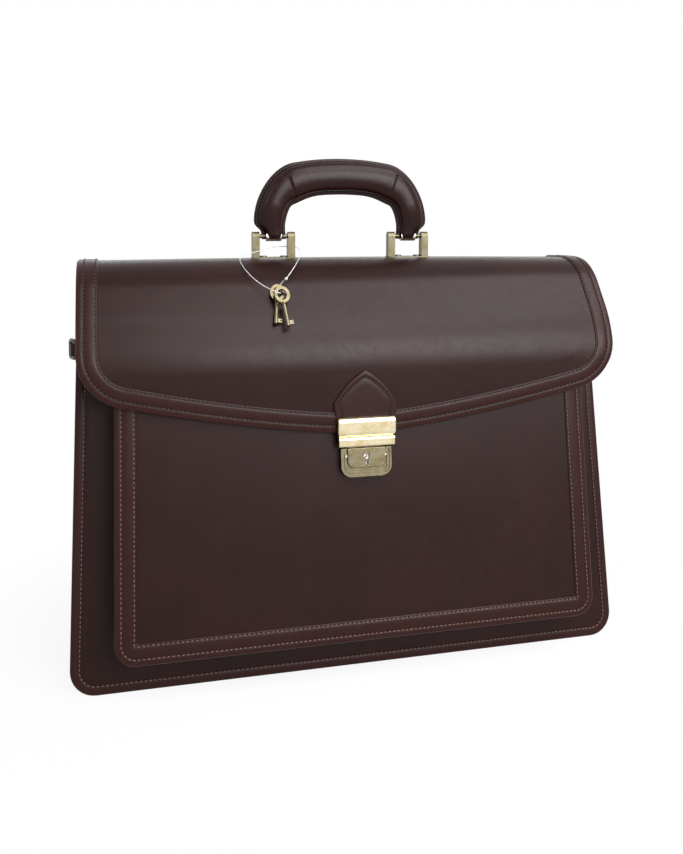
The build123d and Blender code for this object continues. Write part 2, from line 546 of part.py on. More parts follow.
# Side tabs wrap the rings' bars beyond the divider's edge and are riveted through it.
edge_x = half_width(CASE_WIDTHS, RING_Z)
bar_x = edge_x + RING_WIRE + 0.5
seat = DIVIDER / 2 + FLANGE_THICKNESS
ply = 1.0
tab_rivets = []
for name, side in (("left", -1), ("right", 1)):
    tab_start = edge_x - FLANGE_WIDTH + 0.8
    tab_length = bar_x - tab_start
    middle_x = side * (tab_start + tab_length / 2)
    wrap = Box(tab_length, 2 * (seat + ply), TAB_HEIGHT)
    room = Pos(-side * 0.5, 0, 0) * Box(tab_length + 1, 2 * seat, TAB_HEIGHT + 1)
    bend = Pos(side * tab_length / 2, 0, 0) * Cylinder(seat + ply, TAB_HEIGHT)
    hollow = Pos(side * tab_length / 2, 0, 0) * Cylinder(seat, TAB_HEIGHT + 1)
    rivet_x = side * (tab_start + 3.2)
    hole = rod((rivet_x, -9, RING_Z), (rivet_x, 9, RING_Z), 1.05)
    tab = Pos(middle_x, 0, RING_Z) * (wrap + bend - room - hollow)
    parts["side_tab_" + name] = tab - hole
    for node in ("divider_panel", "front_gusset", "rear_gusset"):
        parts[node] = parts[node] - hole
    rivet = rod((rivet_x, -seat - ply, RING_Z), (rivet_x, seat + ply, RING_Z), 1.0)
    for face in (-1, 1):
        rivet += Pos(rivet_x, face * (seat + ply + 0.4), RING_Z) * (Rot(90, 0, 0) * Cylinder(2.2, 0.8))
    tab_rivets.append(rivet)
    # The ring is a rectangle of wire, swung back from its bar.
    swing = radians(RING_SWING)
    reach = Vector(side * cos(swing), sin(swing), 0) * RING_REACH
    half = RING_HEIGHT / 2 - RING_WIRE
    corners = [Vector(side * bar_x, 0, RING_Z - half), Vector(side * bar_x, 0, RING_Z + half)]
    corners += [corners[1] + reach, corners[0] + reach]
    ring_path = FilletPolyline(*corners, radius=2.4, close=True)
    section = Plane(origin=ring_path @ 0, z_dir=ring_path % 0) * Circle(RING_WIRE)
    parts["side_ring_" + name] = sweep(section, path=ring_path)
parts["side_rivets"] = Compound(children=tab_rivets)

# Keys lie on the flap's slope. Local y runs up the slope and z stands out of it.
slope_up = Vector(0, FLAP_SHOULDER_Y - FLAP_BREAK[0], TOP_Z - FLAP_BREAK[1]).normalized()
slope_out = Vector(0, -slope_up.Z, slope_up.Y)
break_point = Vector(0, *FLAP_BREAK)


def on_slope(x, z, out):
    # A point over the slope at a height, standing out of it.
    along = (z - break_point.Z - out * slope_out.Z) / slope_up.Z
    return break_point + slope_up * along + slope_out * out + Vector(x, 0, 0)


def barrel_key(x, z, out, turn):
    # A small barrel key hanging from its bow, whose middle is at the point given.
    bow = Ellipse(5.6, 7.0) - Ellipse(3.4, 4.6)
    key = extrude(bow, amount=0.9, both=True)
    key += Pos(0, -7.4, 0) * (Rot(90, 0, 0) * Cylinder(2.1, 1.6))
    key += Pos(0, -16.5, 0) * (Rot(90, 0, 0) * Cylinder(1.5, 19.0))
    key += Pos(2.6, -23.2, 0) * Box(3.6, 3.0, 1.2)
    key -= Pos(0, -22.5, 0) * (Rot(90, 0, 0) * Cylinder(0.85, 9.0))
    key -= Pos(3.6, -23.2, 0) * Box(1.2, 0.8, 3)
    place = Plane(origin=on_slope(x, z, out), x_dir=(1, 0, 0), z_dir=slope_out)
    return place * (Rot(0, 0, turn) * key)


parts["key_front"] = barrel_key(-58.4, 280.0, 6.9, 4)
parts["key_back"] = barrel_key(-60.6, 281.0, 2.5, -9)

# The thread: from its knot, round the left bracket's inner post, through the window and back.
post_right = -BRACKET_X + BRACKET_LENGTH / 2
post_y = POST_DEPTH / 2 + 2.0
knot = on_slope(-53.8, 291.2, 6.4)
thread_points = [knot + (on_slope(-47.0, 299.0, 8.0) - knot).normalized() * (KNOT_RADIUS + 0.1)]
thread_points.append(on_slope(-47.0, 299.0, 8.0))
thread_points.append(Vector(post_right + 2.2, -14.5, TOP_Z + 4.2))
thread_points.append(Vector(post_right + 3.4, -4.5, TOP_Z + 8.2))
thread_points.append(Vector(post_right + 2.0, post_y + 0.8, TOP_Z + 10.0))
thread_points.append(Vector(post_right - 7.0, post_y + 1.2, TOP_Z + 10.2))
thread_points.append(Vector(-BRACKET_X - 3.0, -1.0, TOP_Z + 9.4))
thread_points.append(Vector(-BRACKET_X - 9.0, -post_y - 1.6, TOP_Z + 8.0))
thread_points.append(Vector(-BRACKET_X - 20.0, -post_y - 6.4, TOP_Z + 5.2))
thread_points.append(Vector(-BRACKET_X - 28.6, -15.0, TOP_Z + 2.6))
thread_points.append(Vector(-BRACKET_X - 29.4, -24.0, TOP_Z - 1.4))
thread_points.append(on_slope(-80.0, 293.6, 5.0))
thread_points.append(on_slope(-72.6, 287.4, 4.8))
thread_points.append(on_slope(-65.6, 283.4, 9.4))
thread_points.append(on_slope(-60.2, 281.4, 10.2))
thread_points.append(on_slope(-58.6, 281.2, 4.6))
thread_points.append(on_slope(-58.4, 283.2, 0.8))
thread_points.append(on_slope(-56.8, 288.2, 0.9))
thread_points.append(knot + (on_slope(-56.8, 288.2, 0.9) - knot).normalized() * (KNOT_RADIUS + 0.1))
thread_radii = []
for before, here, after in zip(thread_points, thread_points[1:], thread_points[2:]):
    first = here - before
    second = after - here
    turn = radians(first.get_angle(second))
    thread_radii.append(0.45 * min(first.length, second.length) / tan(turn / 2))
print("thread radii", [round(r, 2) for r in thread_radii])
thread_line = FilletPolyline(*thread_points, radius=thread_radii)
thread_end = Plane(origin=thread_line @ 0, z_dir=thread_line % 0) * Circle(THREAD_DIAMETER / 2)
parts["key_thread"] = sweep(thread_end, path=thread_line)
print("thread length", round(thread_line.length, 1), "volume", round(parts["key_thread"].volume, 2))
print("thread section times length", round(pi * THREAD_DIAMETER**2 / 4 * thread_line.length, 2))
parts["thread_knot"] = Pos(*knot) * Sphere(KNOT_RADIUS)

# Left and right borders are separate pieces.
for name in ("flap_border", "flap_top_border"):
    both = parts.pop(name).solids().sort_by(Axis.X)
    parts[name + "_left"] = both[0]
    parts[name + "_right"] = both[-1]

for name, solid in parts.items():
    solids = solid.solids()
    print(name, len(solids), round(sum(s.volume for s in solids), 1))
    shape = solids[0] if len(solids) == 1 else Compound(children=list(solids))
    export_step(shape, "parts/" + name + ".step")
print("rear axis", rear_axis, "fold axis", fold_axis)
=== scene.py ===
import math

import bmesh
import bpy
import numpy as np
from bpy.props import FloatProperty, FloatVectorProperty, PointerProperty
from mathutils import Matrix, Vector


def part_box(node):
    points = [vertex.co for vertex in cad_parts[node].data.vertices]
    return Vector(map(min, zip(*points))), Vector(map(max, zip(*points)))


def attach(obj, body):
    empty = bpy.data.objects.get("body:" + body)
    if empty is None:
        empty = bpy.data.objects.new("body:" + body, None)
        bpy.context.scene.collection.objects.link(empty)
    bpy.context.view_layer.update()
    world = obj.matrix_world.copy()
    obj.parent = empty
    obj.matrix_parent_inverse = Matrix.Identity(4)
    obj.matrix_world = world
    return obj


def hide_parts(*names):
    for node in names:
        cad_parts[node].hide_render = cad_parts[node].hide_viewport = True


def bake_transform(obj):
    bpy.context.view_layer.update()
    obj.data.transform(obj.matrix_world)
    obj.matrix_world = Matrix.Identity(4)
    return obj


bl_info = {
    "name": "Leather Briefcase",
    "version": (1, 0, 0),
    "blender": (4, 5, 0),
    "location": "3D View > Sidebar > Briefcase",
    "description": "Builds the leather, stitching and fittings of a flap briefcase round its frame",
    "category": "Object",
}

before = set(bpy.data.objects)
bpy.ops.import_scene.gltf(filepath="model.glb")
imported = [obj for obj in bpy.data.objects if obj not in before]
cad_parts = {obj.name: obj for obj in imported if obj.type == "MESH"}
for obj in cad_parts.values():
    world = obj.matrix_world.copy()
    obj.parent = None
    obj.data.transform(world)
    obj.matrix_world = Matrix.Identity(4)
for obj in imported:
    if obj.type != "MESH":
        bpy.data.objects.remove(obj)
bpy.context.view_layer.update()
MM = 0.001

# The case's own sizes, in millimetres, as the frame was built.
LEAN = 0.1239
LEAN_FACTOR = math.sqrt(1 + LEAN**2)
HALF_DEPTH = 59.95
HALF_WIDTH, TAPER = 211.0, 0.0317
POCKET_HALF, POCKET_TAPER = 180.5, 0.014
POCKET_DEPTH = 28.4
POCKET_LOW, POCKET_TOP = 30.0, 246.0
TOP_Z = 303.6
FLAP_HALF = 202.4
SHOULDER = (-30.95, TOP_Z)
BREAK = (-69.4, 248.3)
HEM = (-71.2, 176.0)
FLAP_TIP, FLAP_CORNER, CORNER_Z, FLAP_RISE = 179.0, 38.0, 242.0, 26.0
FLAP_BENDS = (6.5, 42.0, 80.0)
TOP_CROWN = 1.6
FRONT_TOP, BACK_TOP, DIVIDER_TOP, GUSSET_TOP = 290, 295, 284, 277
CASE_CORNER, POCKET_CORNER = 18, 15
LEATHER, POCKET_LEATHER = 3, 2.4
GUSSET_FOLD, POCKET_FOLD, GUSSET_WALL = 24, 6, 1.9
BORDER = 15.0
# Insets of the stitched rows, from a panel's own edge.
EDGE_ROW = 6.5
POCKET_ROWS = (4.5, 13.3)
FLAP_ROWS = (5.0, 13.2)
# Faces that meet at more than this many radians are drawn with a sharp edge.
SHARP_ANGLE = 1.1
# The share of the inset attribute that a border's own width takes.
INSET_SHARE = 0.8


def lean_y(side, offset, z):
    """Y of a plane that leans with the front (-1) or back (1) of the case, offset inwards."""
    return side * (HALF_DEPTH - offset * LEAN_FACTOR - LEAN * z)


class BRIEFCASE_PG_leather(bpy.types.PropertyGroup):
    colour: FloatVectorProperty(
        name="Leather", description="Colour of the body leather", subtype="COLOR",
        default=(0.0125, 0.0030, 0.0024), min=0, max=1)
    trim: FloatVectorProperty(
        name="Border", description="Colour of the stitched borders and the tab", subtype="COLOR",
        default=(0.0125, 0.0042, 0.0035), min=0, max=1)
    inside: FloatVectorProperty(
        name="Lining", description="Colour of the cloth lining", subtype="COLOR",
        default=(0.16, 0.09, 0.055), min=0, max=1)
    grain: FloatProperty(
        name="Grain", description="Width of one grain cell", default=0.0009, min=0.0003, unit="LENGTH")


class BRIEFCASE_PG_stitch(bpy.types.PropertyGroup):
    pitch: FloatProperty(
        name="Pitch", description="Distance from stitch to stitch",
        default=0.0033, min=0.001, unit="LENGTH")
    length: FloatProperty(
        name="Length", description="Length of one stitch", default=0.0024, min=0.0005, unit="LENGTH")
    thread: FloatProperty(
        name="Thread", description="Thickness of the thread", default=0.0011, min=0.0002, unit="LENGTH")
    dark: FloatVectorProperty(
        name="Dark thread", description="Colour of the outer rows", subtype="COLOR",
        default=(0.0035, 0.0018, 0.0016), min=0, max=1)
    # The light thread's colour is the dark thread with a painted highlight, for the rows on the panels and
    # the pocket.
    light: FloatVectorProperty(
        name="Light thread", description="Colour of the inner rows", subtype="COLOR",
        default=(0.085, 0.042, 0.033), min=0, max=1)


class BRIEFCASE_PG_stage(bpy.types.PropertyGroup):
    lens: FloatProperty(
        name="Lens", description="Focal length on a 36 mm sensor", default=37.94, min=10, unit="CAMERA")
    floor: FloatVectorProperty(
        name="Floor", description="Colour of the floor", subtype="COLOR",
        default=(0.8, 0.8, 0.8), min=0, max=1)


# ---------------------------------------------------------------- materials


def new_material(name):
    material = bpy.data.materials.new(name)
    material.use_nodes = True
    nodes = material.node_tree.nodes
    nodes.clear()
    out = nodes.new("ShaderNodeOutputMaterial")
    shader = nodes.new("ShaderNodeBsdfPrincipled")
    material.node_tree.links.new(shader.outputs["BSDF"], out.inputs["Surface"])
    return material, nodes, material.node_tree.links, shader


def add(nodes, kind, **values):
    """A node with its settings, and its inputs set by name where they match."""
    node = nodes.new(kind)
    for key, value in values.items():
        if key in node.inputs.keys():
            node.inputs[key].default_value = value
        else:
            setattr(node, key, value)
    return node


def ramp(nodes, links, source, stops):
    node = nodes.new("ShaderNodeValToRGB")
    links.new(source, node.inputs["Fac"])
    elements = node.color_ramp.elements
    while len(elements) < len(stops):
        elements.new(0.5)
    for element, (place, colour) in zip(elements, stops):
        element.position = place
        element.color = tuple(colour) if len(colour) == 4 else (*colour, 1)
    return node


def grey(value):
    return (value, value, value, 1)


def shade(colour, factor):
    return tuple(min(1.0, c * factor) for c in colour)


def leather_material(name, colour, grain, gloss=0.33, bump=0.1, mottling=0.22):
    """Smooth calf: fine grain and creases in the bump, cloudy colour, uneven polish, paler worn edges."""
    material, nodes, links, shader = new_material(name)
    place = add(nodes, "ShaderNodeTexCoord")
    cloud = add(nodes, "ShaderNodeTexNoise", Scale=14.0, Detail=6.0, Roughness=0.6)
    fine = add(nodes, "ShaderNodeTexNoise", Scale=240.0, Detail=3.0, Roughness=0.65)
    cells = add(nodes, "ShaderNodeTexVoronoi", Scale=1.0 / grain, Randomness=1.0)
    for node in (cloud, fine, cells):
        links.new(place.outputs["Object"], node.inputs["Vector"])
    dark, pale = shade(colour, 1 - mottling), shade(colour, 1 + mottling)
    tint = ramp(nodes, links, cloud.outputs["Fac"], [(0.3, dark), (0.52, colour), (0.75, pale)])
    # Edges, where the leather is turned and rubbed, are a little redder and paler.
    rim = add(nodes, "ShaderNodeAttribute", attribute_name="inset")
    fading = [(0.0, grey(0.7)), (0.16, grey(0.42)), (0.77, grey(0.36)), (0.82, grey(0.0))]
    wear = ramp(nodes, links, rim.outputs["Fac"], fading)
    worn = add(nodes, "ShaderNodeMix", data_type="RGBA")
    worn.inputs["B"].default_value = (*shade((colour[0] * 1.1, colour[1], colour[2]), 1.9), 1)
    links.new(wear.outputs["Color"], worn.inputs["Factor"])
    links.new(tint.outputs["Color"], worn.inputs["A"])
    links.new(worn.outputs["Result"], shader.inputs["Base Color"])
    polish = ramp(nodes, links, fine.outputs["Fac"], [(0.25, grey(gloss * 0.8)), (0.8, grey(gloss * 1.35))])
    links.new(polish.outputs["Color"], shader.inputs["Roughness"])
    pits = ramp(nodes, links, cells.outputs["Distance"], [(0.0, grey(1.0)), (0.75, grey(0.0))])
    mix = add(nodes, "ShaderNodeMix", data_type="FLOAT")
    mix.inputs["Factor"].default_value = 0.45
    links.new(pits.outputs["Color"], mix.inputs["A"])
    links.new(fine.outputs["Fac"], mix.inputs["B"])
    relief = add(nodes, "ShaderNodeBump", Strength=bump, Distance=0.00008)
    links.new(mix.outputs["Result"], relief.inputs["Height"])
    slow = add(nodes, "ShaderNodeBump", Strength=0.1, Distance=0.002)
    links.new(cloud.outputs["Fac"], slow.inputs["Height"])
    links.new(relief.outputs["Normal"], slow.inputs["Normal"])
    links.new(slow.outputs["Normal"], shader.inputs["Normal"])
    shader.inputs["Specular IOR Level"].default_value = 0.13
    shader.inputs["Coat Weight"].default_value = 0.05
    shader.inputs["Coat Roughness"].default_value = 0.22
    return material


def thread_material(name, colour):
    """Twisted waxed thread."""
    material, nodes, links, shader = new_material(name)
    place = add(nodes, "ShaderNodeTexCoord")
    wave = add(nodes, "ShaderNodeTexNoise", Scale=1900.0, Detail=2.0)
    links.new(place.outputs["Object"], wave.inputs["Vector"])
    tint = ramp(nodes, links, wave.outputs["Fac"], [(0.3, shade(colour, 0.6)), (0.7, shade(colour, 1.3))])
    links.new(tint.outputs["Color"], shader.inputs["Base Color"])
    rough = ramp(nodes, links, wave.outputs["Fac"], [(0.2, grey(0.45)), (0.8, grey(0.7))])
    links.new(rough.outputs["Color"], shader.inputs["Roughness"])
    relief = add(nodes, "ShaderNodeBump", Strength=0.5, Distance=0.0001)
    links.new(wave.outputs["Fac"], relief.inputs["Height"])
    links.new(relief.outputs["Normal"], shader.inputs["Normal"])
    return material


def metal_material(name, colour, rough=0.22, tarnish=0.5):
    """Pale brass, polished in some patches and duller in others by a noise, with fine scratches."""
    material, nodes, links, shader = new_material(name)
    place = add(nodes, "ShaderNodeTexCoord")
    cloud = add(nodes, "ShaderNodeTexNoise", Scale=160.0, Detail=5.0, Roughness=0.6)
    stretch = add(nodes, "ShaderNodeMapping")
    stretch.inputs["Scale"].default_value = (1.0, 6.0, 18.0)
    scratch = add(nodes, "ShaderNodeTexNoise", Scale=420.0, Detail=3.0)
    links.new(place.outputs["Object"], cloud.inputs["Vector"])
    links.new(place.outputs["Object"], stretch.inputs["Vector"])
    links.new(stretch.outputs["Vector"], scratch.inputs["Vector"])
    dull = shade((colour[0] * 0.95, colour[1] * 0.86, colour[2] * 0.7), 1 - 0.35 * tarnish)
    tones = [(0.34, dull), (0.56, colour), (0.8, shade(colour, 1.06))]
    tint = ramp(nodes, links, cloud.outputs["Fac"], tones)
    links.new(tint.outputs["Color"], shader.inputs["Base Color"])
    polish = [(0.25, grey(rough * 0.7)), (0.8, grey(rough * 1.6))]
    spread = ramp(nodes, links, scratch.outputs["Fac"], polish)
    links.new(spread.outputs["Color"], shader.inputs["Roughness"])
    relief = add(nodes, "ShaderNodeBump", Strength=0.12, Distance=0.00005)
    links.new(scratch.outputs["Fac"], relief.inputs["Height"])
    links.new(relief.outputs["Normal"], shader.inputs["Normal"])
    shader.inputs["Metallic"].default_value = 1.0
    return material


def cloth_material(name, colour, weave=0.0007):
    """Fine twill."""
    material, nodes, links, shader = new_material(name)
    place = add(nodes, "ShaderNodeTexCoord")
    turn = add(nodes, "ShaderNodeMapping")
    turn.inputs["Rotation"].default_value = (0, math.radians(45), 0)
    band = add(nodes, "ShaderNodeTexWave", Scale=0.16 / weave, Distortion=0.6, Detail=1.0)
    cloud = add(nodes, "ShaderNodeTexNoise", Scale=60.0, Detail=4.0)
    links.new(place.outputs["Object"], turn.inputs["Vector"])
    links.new(turn.outputs["Vector"], band.inputs["Vector"])
    links.new(place.outputs["Object"], cloud.inputs["Vector"])
    tint = ramp(nodes, links, band.outputs["Fac"], [(0.0, shade(colour, 0.75)), (1.0, shade(colour, 1.15))])
    mottle = add(nodes, "ShaderNodeMix", data_type="RGBA", blend_type="MULTIPLY")
    mottle.inputs["Factor"].default_value = 0.3
    links.new(tint.outputs["Color"], mottle.inputs["A"])
    links.new(cloud.outputs["Color"], mottle.inputs["B"])
    links.new(mottle.outputs["Result"], shader.inputs["Base Color"])
    relief = add(nodes, "ShaderNodeBump", Strength=0.4, Distance=0.00015)
    links.new(band.outputs["Fac"], relief.inputs["Height"])
    links.new(relief.outputs["Normal"], shader.inputs["Normal"])
    rough = ramp(nodes, links, cloud.outputs["Fac"], [(0.2, grey(0.75)), (0.8, grey(0.92))])
    links.new(rough.outputs["Color"], shader.inputs["Roughness"])
    return material


def nylon_material(name):
    """Clear nylon thread, drawn as a pale translucent gloss."""
    material, nodes, links, shader = new_material(name)
    place = add(nodes, "ShaderNodeTexCoord")
    cloud = add(nodes, "ShaderNodeTexNoise", Scale=300.0, Detail=2.0)
    links.new(place.outputs["Object"], cloud.inputs["Vector"])
    tint = ramp(nodes, links, cloud.outputs["Fac"], [(0.2, grey(0.62)), (0.8, grey(0.85))])
    links.new(tint.outputs["Color"], shader.inputs["Base Color"])
    rough = ramp(nodes, links, cloud.outputs["Fac"], [(0.2, grey(0.12)), (0.8, grey(0.25))])
    links.new(rough.outputs["Color"], shader.inputs["Roughness"])
    shader.inputs["Transmission Weight"].default_value = 0.25
    return material


MATERIALS = {}


def make_materials(context):
    leather = context.scene.briefcase_leather
    stitch = context.scene.briefcase_stitch
    grain = leather.grain
    body = tuple(leather.colour)
    MATERIALS["leather"] = leather_material("calf_body", body, grain)
    MATERIALS["handle"] = leather_material("calf_handle", body, grain, gloss=0.27, bump=0.16)
    MATERIALS["trim"] = leather_material("calf_border", tuple(leather.trim), grain, gloss=0.36)
    soft, flesh = shade(body, 0.9), (0.075, 0.036, 0.022)
    MATERIALS["gusset"] = leather_material("calf_gusset", soft, grain * 1.1, gloss=0.42, bump=0.35)
    MATERIALS["suede"] = leather_material("calf_flesh_side", flesh, grain, gloss=0.75, bump=0.5)
    MATERIALS["dark_thread"] = thread_material("waxed_thread_dark", tuple(stitch.dark))
    # The light thread is the dark thread with a painted highlight.
    MATERIALS["light_thread"] = thread_material("waxed_thread_painted_highlight", tuple(stitch.light))
    MATERIALS["brass"] = metal_material("pale_brass", (0.78, 0.68, 0.46), tarnish=0.25)
    MATERIALS["bracket"] = metal_material("satin_brass", (0.11, 0.1, 0.066), rough=0.34, tarnish=0.3)
    MATERIALS["old_brass"] = metal_material("antique_brass", (0.15, 0.13, 0.083), rough=0.28, tarnish=0.4)
    # The side rings' brass is darkened: painted shade, for rings that sit in shadow at the case's sides.
    MATERIALS["bronze"] = metal_material("dark_bronze", (0.1, 0.085, 0.06), rough=0.32, tarnish=0.6)
    MATERIALS["steel"] = metal_material("lock_steel", (0.5, 0.49, 0.47), rough=0.3, tarnish=0.3)
    MATERIALS["cloth"] = cloth_material("cotton_lining", tuple(leather.inside))
    MATERIALS["board"] = cloth_material("fibre_board", (0.2, 0.15, 0.1), weave=0.002)
    MATERIALS["nylon"] = nylon_material("clear_nylon")


# ---------------------------------------------------------------- meshes


def finish_mesh(name, verts, faces, material, inset=None, weld=0.0):
    """A closed mesh in metres, its faces turned outwards, with the inset kept for its leather."""
    mesh = bpy.data.meshes.new(name)
    mesh.from_pydata([tuple(v) for v in verts], [], faces)
    if inset is not None:
        layer = mesh.attributes.new("inset", "FLOAT", "POINT")
        layer.data.foreach_set("value", np.asarray(inset, np.float32))
    work = bmesh.new()
    work.from_mesh(mesh)
    if weld:
        bmesh.ops.remove_doubles(work, verts=work.verts, dist=weld)
        bmesh.ops.dissolve_degenerate(work, edges=work.edges, dist=weld / 2)
    bmesh.ops.recalc_face_normals(work, faces=work.faces)
    for edge in work.edges:
        if edge.is_manifold and edge.calc_face_angle(0) > SHARP_ANGLE:
            edge.smooth = False
    work.to_mesh(mesh)
    work.free()
    for face in mesh.polygons:
        face.use_smooth = True
    thing = bpy.data.objects.new(name, mesh)
    bpy.context.scene.collection.objects.link(thing)
    mesh.materials.append(material)
    return thing


def grid_faces(rows, columns, base=0):
    """Four-sided faces between the points of a grid that is stored row by row."""
    faces = []
    for row in range(rows - 1):
        for column in range(columns - 1):
            i = base + row * columns + column
            faces.append((i, i + 1, i + columns + 1, i + columns))
    return faces


def bar_faces(count, size):
    """The sides and both ends of a bar made of closed loops of points."""
    faces = []
    for j in range(count - 1):
        for i in range(size):
            k = (i + 1) % size
            faces.append((j * size + i, j * size + k, (j + 1) * size + k, (j + 1) * size + i))
    faces.append(tuple(range(size)))
    faces.append(tuple(range((count - 1) * size, count * size)))
    return faces


def drawn_mesh(thing):
    """The mesh of a curve or of an object with modifiers, as it is drawn."""
    bpy.context.view_layer.update()
    graph = bpy.context.evaluated_depsgraph_get()
    return bpy.data.meshes.new_from_object(thing.evaluated_get(graph))


def smooth_step(value):
    value = np.clip(value, 0, 1)
    return value * value * (3 - 2 * value)


def ripple(x, v, seed=0.0):
    """Slow waves in a hanging sheet of leather, between -1 and 1."""
    wave = np.sin(x * 0.021 + seed) * np.sin(v * 0.034 + 1.7 * seed + 0.6)
    return 0.6 * wave + 0.4 * np.sin(x * 0.011 - v * 0.019 + 2.3 * seed)


def arc(cx, cy, radius, start, end, count):
    angles = np.radians(np.linspace(start, end, count + 1))
    return np.stack([cx + radius * np.cos(angles), cy + radius * np.sin(angles)], 1)


class Panel:
    """A sheet's outline as four runs of points: left side, bottom, right side and top, at any inset."""

    def __init__(self, sides, bottom, corner, closed=True):
        self.sides, self.bottom, self.corner, self.closed = sides, bottom, corner, closed

    def ring(self, inset):
        left, bottom, right, top = self.runs(inset)
        parts = [left[:-1], bottom[:-1], right[:-1] if self.closed else right]
        if self.closed:
            parts.append(top[:-1])
        return np.concatenate(parts)

    def patch(self, inset):
        """A grid that fills the ring, rows from top to bottom."""
        left, bottom, right, top = self.runs(inset)
        right, top = right[::-1], top[::-1]
        u = np.linspace(0, 1, len(bottom))[None, :, None]
        w = np.linspace(0, 1, len(left))[:, None, None]
        sides = (1 - u) * left[:, None] + u * right[:, None]
        ends = (1 - w) * top[None] + w * bottom[None]
        corners = (1 - w) * ((1 - u) * top[0] + u * top[-1]) + w * ((1 - u) * bottom[0] + u * bottom[-1])
        return sides + ends - corners


class TaperPanel(Panel):
    """A panel with sides that taper and rounded lower corners."""

    def __init__(self, half, taper, low, high, radius, sides=48, bottom=64, top_radius=3.0, corner=9):
        super().__init__(sides, bottom, corner)
        self.half, self.taper, self.low, self.high = half, taper, low, high
        self.radius, self.top_radius = radius, top_radius

    def runs(self, inset):
        n, m, k = self.sides, self.bottom, self.corner
        low, high = self.low + inset, self.high - inset
        r = max(self.radius - inset, 0.4)
        t = max(self.top_radius - inset, 0.3)
        at_low = self.half - self.taper * (low + r) - inset
        at_high = self.half - self.taper * (high - t) - inset
        z = np.linspace(high - t, low + r, n + 1)
        x = np.linspace(at_high, at_low, n + 1)
        left = np.stack([-x, z], 1)
        right = left[::-1] * (-1, 1)
        c = at_low - r
        flat = np.stack([np.linspace(-c, c, m + 1), np.full(m + 1, low)], 1)
        turns = arc(-c, low + r, r, 180, 270, k)[:-1], arc(c, low + r, r, 270, 360, k)[1:]
        bottom = np.concatenate([turns[0], flat, turns[1]])
        c = at_high - t
        flat = np.stack([np.linspace(c, -c, m + 1), np.full(m + 1, high)], 1)
        turns = arc(c, high - t, t, 0, 90, k)[:-1], arc(-c, high - t, t, 90, 180, k)[1:]
        top = np.concatenate([turns[0], flat, turns[1]])
        return left, bottom, right, top


class FlapPanel(Panel):
    """The flap's front: straight sides, round corners and a shallow V hem; open above."""

    def __init__(self, run, start, sides=84, bottom=72, corner=20):
        super().__init__(sides, bottom, corner, closed=False)
        self.run, self.start = run, start
        self.corner_x = FLAP_HALF - FLAP_CORNER
        self.slope = math.atan(1.5 * FLAP_RISE / (self.corner_x + 8))

    def runs(self, inset):
        radius = FLAP_CORNER - inset
        end_x = self.corner_x + radius * math.sin(self.slope)
        end_z = CORNER_Z - radius * math.cos(self.slope)
        tip = FLAP_TIP + inset
        x = np.linspace(-end_x, end_x, self.bottom + 1)
        share = np.abs(x) / end_x
        # The V's point is rounded over its middle part.
        point = 0.08
        rounded = point**1.5 * (0.25 + 0.75 * (share / point) ** 2)
        z = tip + (end_z - tip) * np.where(share < point, rounded, share**1.5)
        hem = np.stack([x, self.run.length_at(z)], 1)
        turn = arc(self.corner_x, 0, radius, -90 + math.degrees(self.slope), 0, self.corner)
        turn[:, 1] = self.run.length_at(turn[:, 1] + CORNER_Z)
        bottom = np.concatenate([turn[::-1][:-1] * (-1, 1), hem, turn[1:]])
        side = self.corner_x + radius
        v = np.linspace(self.start, self.run.length_at(CORNER_Z), self.sides + 1)
        left = np.stack([np.full_like(v, -side), v], 1)
        right = left[::-1] * (-1, 1)
        top = np.stack([bottom[::-1, 0], np.full(len(bottom), self.start)], 1)
        return left, bottom, right, top


ARC_STEPS = 200


class Run:
    """A run of straight pieces joined by arcs, in (Y, Z), read by its length."""

    def __init__(self, points, bends):
        line = [np.array(points[0], float)]
        for before, here, after, radius in zip(points, points[1:], points[2:], bends):
            before, here, after = (np.array(p, float) for p in (before, here, after))
            a = (before - here) / np.linalg.norm(before - here)
            b = (after - here) / np.linalg.norm(after - here)
            half = math.acos(float(np.clip(a @ b, -1, 1))) / 2
            reach = radius / math.tan(half)
            centre = here + (a + b) / np.linalg.norm(a + b) * radius / math.sin(half)
            first, last = here + a * reach - centre, here + b * reach - centre
            turn = math.pi - 2 * half
            for i in range(ARC_STEPS + 1):
                s = i / ARC_STEPS
                swept = first * math.sin((1 - s) * turn) + last * math.sin(s * turn)
                line.append(centre + swept / math.sin(turn))
        line.append(np.array(points[-1], float))
        dense = [line[0]]
        for a, b in zip(line, line[1:]):
            count = max(1, int(np.linalg.norm(b - a) / 0.5))
            dense += [a + (b - a) * (i + 1) / count for i in range(count)]
        self.line = np.array(dense)
        steps = np.linalg.norm(np.diff(self.line, axis=0), axis=1)
        self.length = np.concatenate([[0], np.cumsum(steps)])
        tangent = np.gradient(self.line, self.length, axis=0)
        tangent /= np.linalg.norm(tangent, axis=1)[:, None]
        self.normal = np.stack([tangent[:, 1], -tangent[:, 0]], 1)
        peak = int(np.argmax(self.line[:, 1]))
        self.front = slice(peak, None)
        level = self.length[self.line[:, 1] > TOP_Z - 8]
        self.top = (level[0], level[-1])

    def at(self, v):
        y = np.interp(v, self.length, self.line[:, 0])
        z = np.interp(v, self.length, self.line[:, 1])
        normal_y = np.interp(v, self.length, self.normal[:, 0])
        normal_z = np.interp(v, self.length, self.normal[:, 1])
        return y, z, normal_y, normal_z

    def length_at(self, z):
        """Length at a height on the front."""
        tail = self.front
        return np.interp(-np.asarray(z, float), -self.line[tail, 1], self.length[tail])

    def length_at_y(self, y):
        return float(np.interp(-y, -self.line[:, 0], self.length))


def lean_place(side, offset):
    """Puts (x, z, height) on a leaning plane, height standing outwards."""
    normal = np.array([0, side, LEAN]) / LEAN_FACTOR

    def place(x, v, h):
        y = lean_y(side, offset, v)
        return np.stack([x + 0 * v, y + normal[1] * h, v + normal[2] * h], -1)

    return place


